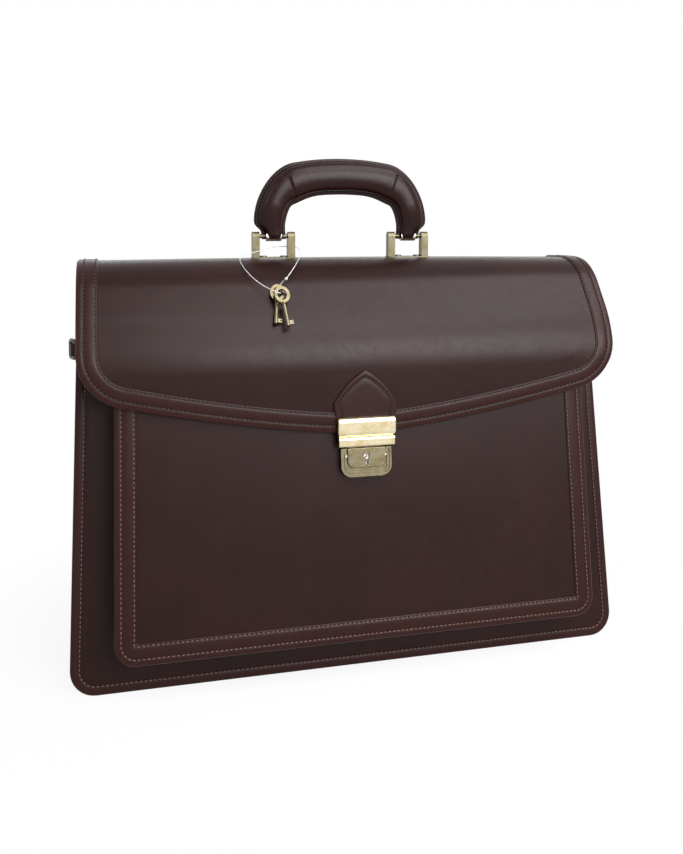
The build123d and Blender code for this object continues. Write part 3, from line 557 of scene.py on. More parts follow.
def upright_place(side, offset):
    """Puts (x, z, height) on an upright plane, height standing outwards."""

    def place(x, v, h):
        return np.stack([x + 0 * v, side * (offset + h) + 0 * v, v + 0 * h], -1)

    return place


def run_place(run, crown=0.0):
    """Puts (x, length, height) on the run; its flat top is crowned in the middle by the padding under it."""

    def place(x, v, h):
        y, z, ny, nz = run.at(v)
        flat = smooth_step((v - run.top[0]) / 22) * smooth_step((run.top[1] - v) / 26)
        h = h + crown * flat * (1 - (np.asarray(x) / FLAP_HALF) ** 2)
        return np.stack([x + 0 * y, y + ny * h, z + nz * h], -1)

    return place


def panel_object(name, panel, place, section, material, border=BORDER, sag=0.0, seed=0.0):
    """A sheet with a worked edge; its section is (inset, height) from mid back to mid front."""
    verts, inset, faces = [], [], []
    rings = []
    for depth, height in section:
        ring = panel.ring(depth)
        rings.append(len(verts))
        lift = np.full(len(ring), height, float)
        verts += list(place(ring[:, 0], ring[:, 1], lift) * MM)
        inset += [INSET_SHARE * depth / border] * len(ring)
    count = rings[1] - rings[0]
    for a, b in zip(rings, rings[1:]):
        for i in range(count if panel.closed else count - 1):
            j = (i + 1) % count
            faces.append((a + i, a + j, b + j, b + i))
    for depth, height, front in ((*section[0], False), (*section[-1], True)):
        grid = panel.patch(depth)
        x, v = grid[..., 0], grid[..., 1]
        lift = np.full(x.shape, height, float)
        if front and sag:
            middle, half = (x.max() + x.min()) / 2, (x.max() - x.min()) / 2
            ends = v.max() - v if not panel.closed else np.minimum(v.max() - v, v - v.min())
            fade = smooth_step((half - np.abs(x - middle)) / 70) * smooth_step(ends / 60)
            lift = lift + sag * ripple(x, v, seed) * fade
        base = len(verts)
        verts += list((place(x, v, lift) * MM).reshape(-1, 3))
        inset += [INSET_SHARE * depth / border] * x.size
        rows, columns = x.shape
        faces += grid_faces(rows, columns, base)
    if not panel.closed:
        # The open end is closed by a strip from the back to the front.
        right = [r + count - 1 for r in rings]
        back = len(verts) - 2 * x.size
        front_row = [len(verts) - x.size + c for c in range(columns)]
        back_row = [back + c for c in range(columns)]
        faces.append(tuple(back_row + right[1:-1] + front_row[::-1] + rings[1:-1][::-1]))
    return finish_mesh(name, verts, faces, material, inset=inset, weld=1e-6)


def seam_points(panel, place, inset, height, below=math.inf):
    """A row of stitches along a panel's edge, as far up as a height."""
    ring = panel.ring(inset)
    ring = ring[ring[:, 1] < below]
    return place(ring[:, 0], ring[:, 1], np.full(len(ring), height))


STITCH_TREES = {}


def stitch_tree(material):
    """Geometry Nodes that lay stitches along an edge path."""
    key = material.name
    if key in STITCH_TREES:
        return STITCH_TREES[key]
    tree = bpy.data.node_groups.new("stitches_" + key, "GeometryNodeTree")
    face = tree.interface
    face.new_socket("Geometry", in_out="INPUT", socket_type="NodeSocketGeometry")
    for label, value in (("Pitch", 0.003), ("Length", 0.0025), ("Thread", 0.0007)):
        socket = face.new_socket(label, in_out="INPUT", socket_type="NodeSocketFloat")
        socket.default_value = value
    face.new_socket("Geometry", in_out="OUTPUT", socket_type="NodeSocketGeometry")
    nodes, links = tree.nodes, tree.links
    start, end = nodes.new("NodeGroupInput"), nodes.new("NodeGroupOutput")
    curve = nodes.new("GeometryNodeMeshToCurve")
    resample = nodes.new("GeometryNodeResampleCurve")
    resample.mode = "LENGTH"
    tangent = nodes.new("GeometryNodeInputTangent")
    turn = nodes.new("FunctionNodeAlignRotationToVector")
    turn.axis = "Z"
    bead = nodes.new("GeometryNodeMeshUVSphere")
    bead.inputs["Segments"].default_value = 6
    bead.inputs["Rings"].default_value = 5
    bead.inputs["Radius"].default_value = 0.5
    size = nodes.new("ShaderNodeCombineXYZ")
    place = nodes.new("GeometryNodeInstanceOnPoints")
    realize = nodes.new("GeometryNodeRealizeInstances")
    paint = nodes.new("GeometryNodeSetMaterial")
    paint.inputs["Material"].default_value = material
    smooth = nodes.new("GeometryNodeSetShadeSmooth")
    links.new(start.outputs["Geometry"], curve.inputs["Mesh"])
    links.new(curve.outputs["Curve"], resample.inputs["Curve"])
    links.new(start.outputs["Pitch"], resample.inputs["Length"])
    links.new(resample.outputs["Curve"], place.inputs["Points"])
    links.new(bead.outputs["Mesh"], place.inputs["Instance"])
    links.new(tangent.outputs["Tangent"], turn.inputs["Vector"])
    links.new(turn.outputs["Rotation"], place.inputs["Rotation"])
    links.new(start.outputs["Thread"], size.inputs["X"])
    links.new(start.outputs["Thread"], size.inputs["Y"])
    links.new(start.outputs["Length"], size.inputs["Z"])
    links.new(size.outputs["Vector"], place.inputs["Scale"])
    links.new(place.outputs["Instances"], realize.inputs["Geometry"])
    links.new(realize.outputs["Geometry"], smooth.inputs["Geometry"])
    links.new(smooth.outputs["Geometry"], paint.inputs["Geometry"])
    links.new(paint.outputs["Geometry"], end.inputs["Geometry"])
    STITCH_TREES[key] = tree
    return tree


def sew(name, lines, material, pitch=None, length=None):
    """Stitches along polylines in millimetres, as one plain mesh."""
    stitch = bpy.context.scene.briefcase_stitch
    verts, edges = [], []
    for line in lines:
        first = len(verts)
        verts += [tuple(np.asarray(p) * MM) for p in line]
        edges += [(i, i + 1) for i in range(first, len(verts) - 1)]
    mesh = bpy.data.meshes.new(name)
    mesh.from_pydata(verts, edges, [])
    thing = bpy.data.objects.new(name, mesh)
    bpy.context.scene.collection.objects.link(thing)
    modifier = thing.modifiers.new("stitches", "NODES")
    modifier.node_group = stitch_tree(material)
    values = {"Pitch": pitch or stitch.pitch, "Length": length or stitch.length, "Thread": stitch.thread}
    for item in modifier.node_group.interface.items_tree:
        if item.item_type == "SOCKET" and item.in_out == "INPUT" and item.name in values:
            modifier[item.identifier] = values[item.name]
    made = drawn_mesh(thing)
    thing.modifiers.remove(modifier)
    thing.data = made
    bpy.data.meshes.remove(mesh)
    if not thing.data.materials:
        thing.data.materials.append(material)
    return thing


def dress(thing, body, slot, *nodes):
    """Rides a piece on its body and stands for CAD nodes; its slot is not used."""
    if body:
        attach(thing, body)
    if nodes:
        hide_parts(*nodes)
    return thing


# ---------------------------------------------------------------- pieces

PLAIN_EDGE = [
    (24, -3.0), (1.2, -3.0), (0.4, -2.7), (0.05, -2.1), (0, -1.5), (0.1, -0.8), (0.55, -0.2), (1.4, 0.1),
    (3.0, 0.25), (5.0, 0.2), (5.9, 0.0), (6.5, -0.15), (7.1, 0.0), (8.2, 0.2), (11, 0.2), (16, 0.1),
    (24, 0.0),
]


def double_edge(outer, inner):
    """A raised border sewn down with two rows, the inner one near its own edge."""
    depth, puff = 2.3, 1.08
    return [
        (26, -depth), (1.5, -depth), (0.6, -depth + 0.3), (0.1, -depth * 0.65), (0, -depth * 0.35),
        (0.12, 0.2), (0.5, 0.62), (1.2, 0.86), (outer - 1.4, 0.95), (outer - 0.6, 0.88), (outer, 0.68),
        (outer + 0.6, 0.88), (outer + 1.6, puff), (inner - 1.8, puff), (inner - 0.6, 0.9), (inner, 0.68),
        (inner + 0.5, 0.84), (inner + 1.1, 0.84), (inner + 1.5, 0.55), (inner + 1.7, 0.0),
        (inner + 2.4, 0.0), (26, 0.0),
    ]


def full_run():
    """The outer face of the back, top and flap as one run, from the back panel to the hem."""
    low = 250.0
    corner = (lean_y(1, 0, TOP_Z), TOP_Z)
    points = [(lean_y(1, 0, low), low), corner, SHOULDER, BREAK, (HEM[0] - 0.3, HEM[1] - 12)]
    return Run(points, FLAP_BENDS)


class BRIEFCASE_OT_panels(bpy.types.Operator):
    """Make the back, divider and front panels with their stitched edges"""

    bl_idname = "briefcase.panels"
    bl_label = "Panels"

    def execute(self, context):
        # The panels' rows take the light thread, whose colour is a painted highlight.
        leather, thread = MATERIALS["leather"], MATERIALS["light_thread"]
        front = TaperPanel(HALF_WIDTH, TAPER, 0, FRONT_TOP, CASE_CORNER)
        place = lean_place(-1, 0)
        edge = {"border": 6.4, "sag": 0.3}
        thing = panel_object("front_leather", front, place, PLAIN_EDGE, leather, seed=0.4, **edge)
        dress(thing, "case", "leather", "front_panel")
        lines = [seam_points(front, place, EDGE_ROW, 0.2, below=283)]
        back = TaperPanel(HALF_WIDTH, TAPER, 0, BACK_TOP, CASE_CORNER)
        place = lean_place(1, 0)
        thing = panel_object("back_leather", back, place, PLAIN_EDGE, leather, seed=2.1, **edge)
        dress(thing, "case", "leather", "back_panel")
        lines.append(seam_points(back, place, EDGE_ROW, 0.1, below=266))
        middle = TaperPanel(HALF_WIDTH, TAPER, 0, DIVIDER_TOP, CASE_CORNER)
        half_section = [(12, 1.2), (1.0, 1.2), (0.3, 0.9), (0, 0.3)]
        section = [(i, -h) for i, h in half_section] + half_section[::-1]
        thing = panel_object("divider_leather", middle, upright_place(-1, 0), section, leather)
        dress(thing, "case", "leather", "divider_panel")
        rows = sew("case_stitches", lines, thread)
        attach(rows, "case")
        return {"FINISHED"}


def gusset_object(name, near, far, half, taper, low, high, corner, fold, wall, material):
    """A U of soft leather between two planes, folded inwards, with turned-out seam flanges."""
    flange = 8.0
    rows, columns = 46, 60

    def band(t, inset):
        y0 = near[0] + (far[0] - near[0]) * t
        slope = near[1] + (far[1] - near[1]) * t
        inward = fold * math.sin(math.pi * t) ** 0.85
        r = max(corner - inset + 3, 1.0)
        base = low + inset
        z = np.linspace(high, base + r, rows + 1)
        x = half - taper * z - inset - inward * z / high
        left = np.stack([-x, z], 1)
        c = half - taper * (base + r) - inset - inward * (base + r) / high - r
        flat = np.stack([np.linspace(-c, c, columns + 1), np.full(columns + 1, base)], 1)
        turns = arc(-c, base + r, r, 180, 270, 8)[:-1], arc(c, base + r, r, 270, 360, 8)[1:-1]
        line = np.concatenate([left[:-1], turns[0], flat, turns[1], (left * (-1, 1))[::-1]])
        return np.stack([line[:, 0], y0 + slope * line[:, 1], line[:, 1]], 1)

    ts = [0.0, 0.0, 0.012, 0.05] + list(np.linspace(0.1, 0.9, 17)) + [0.95, 0.988, 1.0, 1.0]
    insets = [0.7, flange - 0.8, flange] + [flange] * (len(ts) - 6) + [flange, flange - 0.8, 0.7]
    verts = np.concatenate([band(t, i) for t, i in zip(ts, insets)])
    # The flanges lie just inside their panels.
    count = len(band(0.0, 0.7))
    push = np.zeros(len(verts))
    push[:2 * count] = wall * 0.6
    push[-2 * count:] = -wall * 0.6
    verts[:, 1] += push
    thing = finish_mesh(name, verts * MM, grid_faces(len(ts), count), material)
    solid = thing.modifiers.new("wall", "SOLIDIFY")
    solid.thickness = wall * 0.75 * MM
    solid.offset = 0
    return thing


class BRIEFCASE_OT_gussets(bpy.types.Operator):
    """Make the folded gussets of the two compartments and the pocket"""

    bl_idname = "briefcase.gussets"
    bl_label = "Gussets"

    def execute(self, context):
        soft = MATERIALS["gusset"]
        sizes = (HALF_WIDTH, TAPER, 0, GUSSET_TOP, 15, GUSSET_FOLD, GUSSET_WALL, soft)
        front, back = (lean_y(-1, LEATHER, 0), LEAN), (lean_y(1, LEATHER, 0), -LEAN)
        thing = gusset_object("front_gusset_leather", front, (-1.25, 0), *sizes)
        dress(thing, "case", "leather_gusset", "front_gusset")
        thing = gusset_object("rear_gusset_leather", (1.25, 0), back, *sizes)
        dress(thing, "case", "leather_gusset", "rear_gusset")
        near = (lean_y(-1, POCKET_LEATHER - POCKET_DEPTH, 0), LEAN)
        sizes = (POCKET_HALF, POCKET_TAPER, POCKET_LOW, POCKET_TOP - 3, 12, POCKET_FOLD, GUSSET_WALL, soft)
        thing = gusset_object("pocket_gusset_leather", near, (lean_y(-1, 0, 0), LEAN), *sizes)
        dress(thing, "case", "leather_gusset", "pocket_gusset")
        return {"FINISHED"}


class BRIEFCASE_OT_pocket(bpy.types.Operator):
    """Make the pocket's face with its double-stitched border"""

    bl_idname = "briefcase.pocket"
    bl_label = "Pocket"

    def execute(self, context):
        face = TaperPanel(POCKET_HALF, POCKET_TAPER, POCKET_LOW, POCKET_TOP, POCKET_CORNER)
        place = lean_place(-1, -POCKET_DEPTH)
        leather, section = MATERIALS["leather"], double_edge(*POCKET_ROWS)
        thing = panel_object("pocket_leather", face, place, section, leather, sag=0.25, seed=1.3)
        dress(thing, "case", "leather", "pocket_front", "pocket_border")
        for name, inset, stop in zip(("outer", "inner"), POCKET_ROWS, (5, 14)):
            line = seam_points(face, place, inset, 1.0, below=POCKET_TOP - stop)
            # The pocket's rows take the light thread, whose colour is a painted highlight.
            rows = sew("pocket_%s_stitches" % name, [line], MATERIALS["light_thread"])
            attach(rows, "case")
        return {"FINISHED"}


def strip_object(name, place, lengths, section, material, lift):
    """A strip with worked edges at both sides and open ends, between two lengths of a run."""
    verts, inset = [], []
    wide = 22
    reach = FLAP_HALF - section[-1][0]
    across = np.linspace(-reach, reach, wide + 1)[1:-1]
    row = [(i - FLAP_HALF, h, i) for i, h in section]
    row += [(x, section[-1][1], section[-1][0]) for x in across]
    row += [(FLAP_HALF - i, h, i) for i, h in section[::-1]]
    row += [(x, section[0][1], section[0][0]) for x in across[::-1]]
    row = np.array(row)
    for v in lengths:
        verts += list(place(row[:, 0], np.full(len(row), v), row[:, 1] + lift(v)) * MM)
        inset += list(row[:, 2] * INSET_SHARE / BORDER)
    return finish_mesh(name, verts, bar_faces(len(lengths), len(row)), material, inset=inset)


def strip_lift(v):
    """How far the flap's strip stands off, where it overlaps the back panel."""
    return 1.9 * (1 - smooth_step((v - 34.0) / 14.0))


class BRIEFCASE_OT_flap(bpy.types.Operator):
    """Make the flap's leather over the top and down the front, with its borders and lining"""

    bl_idname = "briefcase.flap"
    bl_label = "Flap"

    def execute(self, context):
        run = full_run()
        place = run_place(run, TOP_CROWN)
        leather = MATERIALS["leather"]
        section = double_edge(*FLAP_ROWS)
        middle = run.length_at_y(2.0)
        start = 20.0
        front = FlapPanel(run, middle)
        face = panel_object("flap_leather", front, place, section, leather, sag=0.2, seed=0.9)
        dress(face, None, "leather", "flap_front", "flap_border_left", "flap_border_right")
        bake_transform(face)
        lengths = np.linspace(start, middle, 81)
        over = strip_object("flap_back_leather", place, lengths, section, leather, strip_lift)
        dress(over, None, "leather", "flap_top", "flap_top_border_left", "flap_top_border_right")
        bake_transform(over)
        height = 1.0
        for name, inset in zip(("outer", "inner"), FLAP_ROWS):
            rows = sew("flap_%s_stitches" % name, [seam_points(front, place, inset, height)],
                       MATERIALS["dark_thread"])
            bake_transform(rows)
            lines = []
            for side in (-1, 1):
                v = np.linspace(start + 4, middle, 90)
                lines.append(place(side * np.full_like(v, FLAP_HALF - inset), v, height + strip_lift(v)))
            if name == "outer":
                x = np.linspace(FLAP_HALF - inset, inset - FLAP_HALF, 90)
                lines.append(place(x, np.full_like(x, start + 4), np.full_like(x, 0.2 + strip_lift(start))))
            rows = sew("flap_back_%s_stitches" % name, lines, MATERIALS["dark_thread"])
            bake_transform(rows)
        # The lining lies under the front leather and stops short of its edge.
        under = [(14, -3.3), (4.2, -3.3), (3.8, -3.1), (3.8, -2.6), (4.2, -2.35), (14, -2.35)]
        shape = FlapPanel(run, middle - 4)
        lining = panel_object("flap_lining_cloth", shape, place, under, MATERIALS["suede"])
        dress(lining, None, "lining_fabric", "flap_lining")
        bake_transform(lining)
        return {"FINISHED"}


class BRIEFCASE_OT_linings(bpy.types.Operator):
    """Make the cloth linings and dress the boards"""

    bl_idname = "briefcase.linings"
    bl_label = "Linings"

    def execute(self, context):
        cloth = MATERIALS["cloth"]
        section = [(10, -0.5), (0.5, -0.5), (0, -0.25), (0.5, 0.0), (10, 0.05)]
        margin = 13.4
        shape = TaperPanel(HALF_WIDTH - margin, TAPER, 14, GUSSET_TOP, 8)
        for name, side in (("front_lining", -1), ("back_lining", 1)):
            thing = panel_object(name + "_cloth", shape, lean_place(side, 3.15), section, cloth, seed=side)
            dress(thing, "case", "lining_fabric", name)
        shape = TaperPanel(POCKET_HALF - margin, POCKET_TAPER, 41, POCKET_TOP - 4, 6)
        place = lean_place(-1, 2.5 - POCKET_DEPTH)
        thing = panel_object("pocket_lining_cloth", shape, place, section, cloth)
        dress(thing, "case", "lining_fabric", "pocket_lining")
        for node in ("base_board_front", "base_board_rear", "top_stiffener"):
            repaint(node, MATERIALS["board"])
        repaint("top_lining", cloth)
        return {"FINISHED"}


def repaint(node, material):
    """Gives a frame node the finish that it shows."""
    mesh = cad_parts[node].data
    mesh.materials.clear()
    mesh.materials.append(material)


# The handle's outline in (x, z), from its right end to its top.
HANDLE_OUTER = [
    (63.9, 319.6), (65.0, 326.0), (70.2, 333.6), (66.6, 352.0), (55.4, 369.3), (35.0, 379.8), (0.0, 383.0),
]
HANDLE_HALF_DEPTH = 8.6
HANDLE_INNER = [(45.2, 319.6), (45.4, 333.0), (40.0, 346.6), (27.0, 352.8), (0.0, 354.8)]


def both_sides(points):
    """An outline from its left end over its top, given its right half from the end to the top."""
    return [(-x, z) for x, z in points] + [(x, z) for x, z in points[-2::-1]]


def smooth_line(points, count):
    """Points spread evenly by share along a Catmull-Rom line through the given ones."""
    points = np.array(points, float)
    padded = np.concatenate([[2 * points[0] - points[1]], points, [2 * points[-1] - points[-2]]])
    out = []
    for i in range(1, len(padded) - 2):
        p0, p1, p2, p3 = padded[i - 1:i + 3]
        for s in np.linspace(0, 1, 24, endpoint=False):
            out.append(0.5 * (2 * p1 + (p2 - p0) * s + (2 * p0 - 5 * p1 + 4 * p2 - p3) * s**2
                              + (3 * p1 - p0 - 3 * p2 + p3) * s**3))
    out.append(points[-1])
    out = np.array(out)
    length = np.concatenate([[0], np.cumsum(np.linalg.norm(np.diff(out, axis=0), axis=1))])
    share = np.linspace(0, length[-1], count)
    return np.stack([np.interp(share, length, out[:, 0]), np.interp(share, length, out[:, 1])], 1)


class BRIEFCASE_OT_handle(bpy.types.Operator):
    """Make the padded leather handle, sewn along its outer and inner edges, with its grip sleeve"""

    bl_idname = "briefcase.handle"
    bl_label = "Handle"

    def execute(self, context):
        count = 240
        outer = smooth_line(both_sides(HANDLE_OUTER), count + 1)
        inner = smooth_line(both_sides(HANDLE_INNER), count + 1)
        # Half a section, from the outer crest to the inner one: (share or reach along the height, depth).
        crest = 2.7
        verts, inset = [], []
        outer_line, inner_line = [], []
        for k in range(count + 1):
            share = k / count
            from_end = min(share, 1 - share)
            o, i = outer[k], inner[k]
            middle, along = (o + i) / 2, (o - i)
            a = np.linalg.norm(along) / 2
            along = along / (2 * a)
            depth = HANDLE_HALF_DEPTH * (0.62 + 0.38 * smooth_step(from_end / 0.16))
            close = smooth_step(from_end / 0.02) * 0.25 + 0.75
            depth *= close
            sleeve = smooth_step((from_end - 0.268) / 0.007) * 0.8
            body = a - crest
            seam = [(0.0, 0.0, 0.3), (0.0, 0.75, 0.3), (0.3, 1.15, 0.4), (1.7, 1.25, 0.6), (2.4, 1.45, 0.9)]
            half = [(a - drop, y, e) for drop, y, e in seam]
            for angle in np.linspace(12, 168, 19):
                t = math.radians(angle)
                r = body * math.copysign(abs(math.cos(t)) ** 0.82, math.cos(t))
                y = depth * math.sin(t) ** 0.72
                half.append((r + sleeve * math.cos(t) * 0.4, max(y, 1.6) + sleeve * math.sin(t), 1.0))
            half += [(drop - a, y, e) for drop, y, e in seam[::-1]]
            loop = [(r, -y, e) for r, y, e in half] + [(r, y, e) for r, y, e in half[-2:0:-1]]
            # The sleeve's seams slant, so the sections lean with them near the shoulders.
            slant = 5.5 * math.exp(-((from_end - 0.27) / 0.06) ** 2) * (1 if share < 0.5 else -1)
            ahead = np.array([along[1], -along[0]])
            for r, y, e in loop:
                p = middle + along * r + ahead * slant * (r / a)
                verts.append((p[0], y, p[1]))
                inset.append(e)
            outer_line.append(middle + along * (a - 2.0) + ahead * slant * (a - 2.0) / a)
            inner_line.append(middle - along * (a - 2.0) - ahead * slant * (a - 2.0) / a)
        faces = bar_faces(count + 1, len(loop))
        thing = finish_mesh("handle_leather", np.array(verts) * MM, faces, MATERIALS["handle"], inset=inset)
        dress(thing, "handle", "leather", "handle_cover", "handle_padding")
        lines = []
        for line in (outer_line, inner_line):
            for side in (-1, 1):
                lines.append([(p[0], side * 1.5, p[1]) for p in line[6:-6]])
        thread = MATERIALS["dark_thread"]
        rows = sew("handle_stitches", lines, thread, pitch=0.0026, length=0.0021)
        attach(rows, "handle")
        return {"FINISHED"}


class TabPanel(Panel):
    """The pointed tab under the hasp."""

    def __init__(self):
        super().__init__(26, 12, closed=True, corner=2)
        side = [(20.8, 170.6), (21.2, 178.0), (21.7, 187.0), (23.4, 196.0), (24.0, 201.5)]
        self.right = smooth_line(side, 27)[::-1]

    def runs(self, inset):
        right = self.right.copy()
        right[:, 0] -= inset
        right[:, 1] = 202.0 - (202.0 - right[:, 1]) * (1 - inset / 34)
        left = right * (-1, 1)
        base = right[-1]
        bottom = np.stack([np.linspace(-base[0], base[0], 13), np.full(13, base[1])], 1)
        peak = 225.3 - inset * 1.35
        x = np.linspace(right[0, 0], -right[0, 0], 13)
        share = np.abs(x) / right[0, 0]
        top = np.stack([x, peak - (peak - right[0, 1]) * (0.5 * share**2.2 + 0.5 * share)], 1)
        return left, bottom, right[::-1], top


class BRIEFCASE_OT_tab(bpy.types.Operator):
    """Make the pointed leather tab under the hasp and the side tabs of the rings"""

    bl_idname = "briefcase.tabs"
    bl_label = "Tabs"

    def execute(self, context):
        run = full_run()
        surface = run_place(run)

        def place(x, z, h):
            return surface(x, run.length_at(z), h)

        tab = TabPanel()
        section = [(8, 0.1), (0.8, 0.1), (0.2, 0.4), (0, 0.9), (0.15, 1.4), (0.7, 1.8), (1.8, 2.0),
                   (3.0, 1.9), (3.6, 1.6), (4.0, 1.45), (4.4, 1.6), (5.2, 1.85), (8, 1.9)]
        thing = panel_object("hasp_tab_leather", tab, place, section, MATERIALS["trim"])
        dress(thing, "flap_front", "leather_trim", "hasp_tab")
        ring = tab.ring(4.0)
        ring = np.roll(ring, -int(np.argmin(ring[:, 1] + np.abs(ring[:, 0]) * 0.001)), axis=0)
        ring = ring[ring[:, 1] > 190.0]
        line = place(ring[:, 0], ring[:, 1], np.full(len(ring), 1.85))
        thread = MATERIALS["dark_thread"]
        rows = sew("tab_stitches", [line], thread, pitch=0.0027, length=0.0022)
        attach(rows, "flap_front")
        for name in ("left", "right"):
            low, high = (np.array(c) * 1000 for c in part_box("side_tab_" + name))
            sign = -1 if name == "left" else 1
            inner = low[0] if sign > 0 else high[0]
            outside, inside = 3.45, 2.5
            bar = (high[0] if sign > 0 else low[0]) - sign * outside
            angles = np.linspace(0.2, math.pi - 0.2, 12)
            outline = [(inner, -outside), (bar, -outside)]
            outline += [(bar + sign * outside * math.sin(a), -outside * math.cos(a)) for a in angles]
            outline += [(bar, outside), (inner, outside), (inner, inside), (bar, inside)]
            outline += [(bar + sign * inside * math.sin(a), inside * math.cos(a)) for a in angles]
            outline += [(bar, -inside), (inner, -inside)]
            verts = []
            levels = [(0, 0.45), (0.35, 0.1), (1.0, 0.0), (8.0, 0.0), (8.65, 0.1), (9.0, 0.45)]
            for z, shrink in levels:
                for x, y in outline:
                    grip = 1 - shrink / 6
                    verts.append((x, y * grip if abs(y) > 3 else y / max(grip, 0.5), low[2] + z))
            faces = bar_faces(len(levels), len(outline))
            piece = finish_mesh("side_tab_%s_leather" % name, np.array(verts) * MM, faces, MATERIALS["trim"])
            dress(piece, "case", "leather_trim", "side_tab_" + name)
        return {"FINISHED"}


class BRIEFCASE_OT_metal(bpy.types.Operator):
    """Finish the brackets, rings, lock, hasp, rivets and keys"""

    bl_idname = "briefcase.metal"
    bl_label = "Metal"

    def execute(self, context):
        steel = ("lock_rotor", "lock_drill_pin", "lock_screws", "handle_core")
        dull = ("lock_keeper", "lock_base", "lock_case", "lock_escutcheon", "hasp_back_plate",
                "key_front", "key_back")
        for name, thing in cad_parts.items():
            if thing.hide_render:
                continue
            if name in steel:
                repaint(name, MATERIALS["steel"])
            elif name in dull:
                repaint(name, MATERIALS["old_brass"])
            # The side rings take the darkened brass, whose colour is painted shade.
            elif name.startswith("side_r"):
                repaint(name, MATERIALS["bronze"])
            elif name.startswith(("bracket", "handle_pin")):
                repaint(name, MATERIALS["bracket"])
            elif name.startswith(("hasp", "lock")):
                repaint(name, MATERIALS["brass"])
        return {"FINISHED"}


def on_slope(x, z, out):
    """A point over the flap's upper slope, out standing off its leather."""
    up = Vector((0, SHOULDER[0] - BREAK[0], SHOULDER[1] - BREAK[1])).normalized()
    along = (z - BREAK[1] - out * up.y) / up.z
    return (Vector((x, BREAK[0], BREAK[1])) + up * along + Vector((0, -up.z, up.y)) * out) * MM


THREAD_DIAMETER, KNOT_RADIUS = 0.6, 1.1
# The thread leaves its knot, goes round the bracket's inner post, through the window and back to the keys.
THREAD_ROUTE = [
    on_slope(-47.0, 299.0, 8.0),
    Vector((-36.0, -14.5, 307.8)) * MM, Vector((-34.8, -4.5, 311.8)) * MM,
    Vector((-36.2, 6.3, 313.6)) * MM, Vector((-45.2, 6.7, 313.8)) * MM,
    Vector((-58.0, -1.0, 313.0)) * MM, Vector((-64.0, -7.1, 311.6)) * MM,
    Vector((-75.0, -11.9, 308.8)) * MM, Vector((-83.6, -15.0, 306.2)) * MM,
    Vector((-84.4, -24.0, 302.2)) * MM,
    on_slope(-80.0, 293.6, 5.0), on_slope(-72.6, 287.4, 4.8), on_slope(-65.6, 283.4, 9.4),
    on_slope(-60.2, 281.4, 10.2), on_slope(-58.6, 281.2, 4.6), on_slope(-58.4, 283.2, 0.8),
    on_slope(-56.8, 288.2, 0.9),
]


def line_length(points):
    return sum((b - a).length for a, b in zip(points, points[1:]))


class BRIEFCASE_OT_thread(bpy.types.Operator):
    """Make the clear thread that holds the keys, and its knot"""

    bl_idname = "briefcase.thread"
    bl_label = "Thread"

    def execute(self, context):
        knot = on_slope(-53.8, 291.2, 6.4)
        reach = 1.2 * MM
        first = knot + (THREAD_ROUTE[0] - knot).normalized() * reach
        last = knot + (THREAD_ROUTE[-1] - knot).normalized() * reach
        points = [first, *THREAD_ROUTE, last]
        curve = bpy.data.curves.new("thread", "CURVE")
        curve.dimensions = "3D"
        curve.bevel_depth = THREAD_DIAMETER / 2 * MM
        curve.bevel_resolution = 3
        curve.use_fill_caps = True
        spline = curve.splines.new("NURBS")
        spline.points.add(len(points) - 1)
        for place, point in zip(spline.points, points):
            place.co = (*point, 1)
        spline.order_u = 3
        spline.use_endpoint_u = True
        spline.resolution_u = 10
        curve.materials.append(MATERIALS["nylon"])
        drawn = bpy.data.objects.new("key_cord_line", curve)
        context.scene.collection.objects.link(drawn)
        mesh = drawn_mesh(drawn)
        bpy.data.objects.remove(drawn)
        bpy.data.curves.remove(curve)
        cord = bpy.data.objects.new("key_cord", mesh)
        context.scene.collection.objects.link(cord)
        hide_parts("key_thread")
        path = nurbs_path(points)
        ball = bmesh.new()
        bmesh.ops.create_uvsphere(ball, u_segments=20, v_segments=12, radius=KNOT_RADIUS * MM)
        for vert in ball.verts:
            vert.co *= 1 + 0.1 * math.sin(7 * math.atan2(vert.co.y, vert.co.x) + 900 * vert.co.z)
            vert.co += knot
        mesh = bpy.data.meshes.new("thread_knot_tied")
        ball.to_mesh(mesh)
        ball.free()
        for face in mesh.polygons:
            face.use_smooth = True
        mesh.materials.append(MATERIALS["nylon"])
        tied = bpy.data.objects.new("thread_knot_tied", mesh)
        context.scene.collection.objects.link(tied)
        dress(tied, "flap_front", "nylon", "thread_knot")
        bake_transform(cord)
        line_length(path)
        return {"FINISHED"}


def nurbs_path(points):
    """Points along the quadratic clamped curve through these control points."""
    ends = [points[0]] + [(a + b) / 2 for a, b in zip(points[1:-1], points[2:-1])] + [points[-1]]
    path = [points[0]]
    for a, control, b in zip(ends, points[1:-1], ends[1:]):
        for i in range(1, 11):
            t = i / 10
            path.append(a * (1 - t) ** 2 + control * 2 * t * (1 - t) + b * t * t)
    return path


# Each lamp's name, place, size and power, and the point that they all face.
LAMPS = (
    ("key_softbox", (0.55, -0.8, 1.6), (1.5, 0.9), 26.0),
    ("side_softbox", (0.5, -1.4, 0.6), (1.0, 0.5), 17.0),
    ("front_softbox", (0.5, -1.25, 1.05), (1.4, 0.6), 13.0),
    ("back_softbox", (0.5, 1.8, 1.1), (1.8, 0.8), 3.0),
    ("left_softbox", (-1.2, -0.9, 1.0), (0.8, 0.8), 4.0),
)
AIM = Vector((0, -0.02, 0.2))
CAMERA_PLACE = (-0.1755, -0.6968, 0.3283)
CAMERA_DOWN, CAMERA_TURN = 3.49, -14.14
CAMERA_SHIFT = -0.1687
ROOM_LIGHT = 0.07


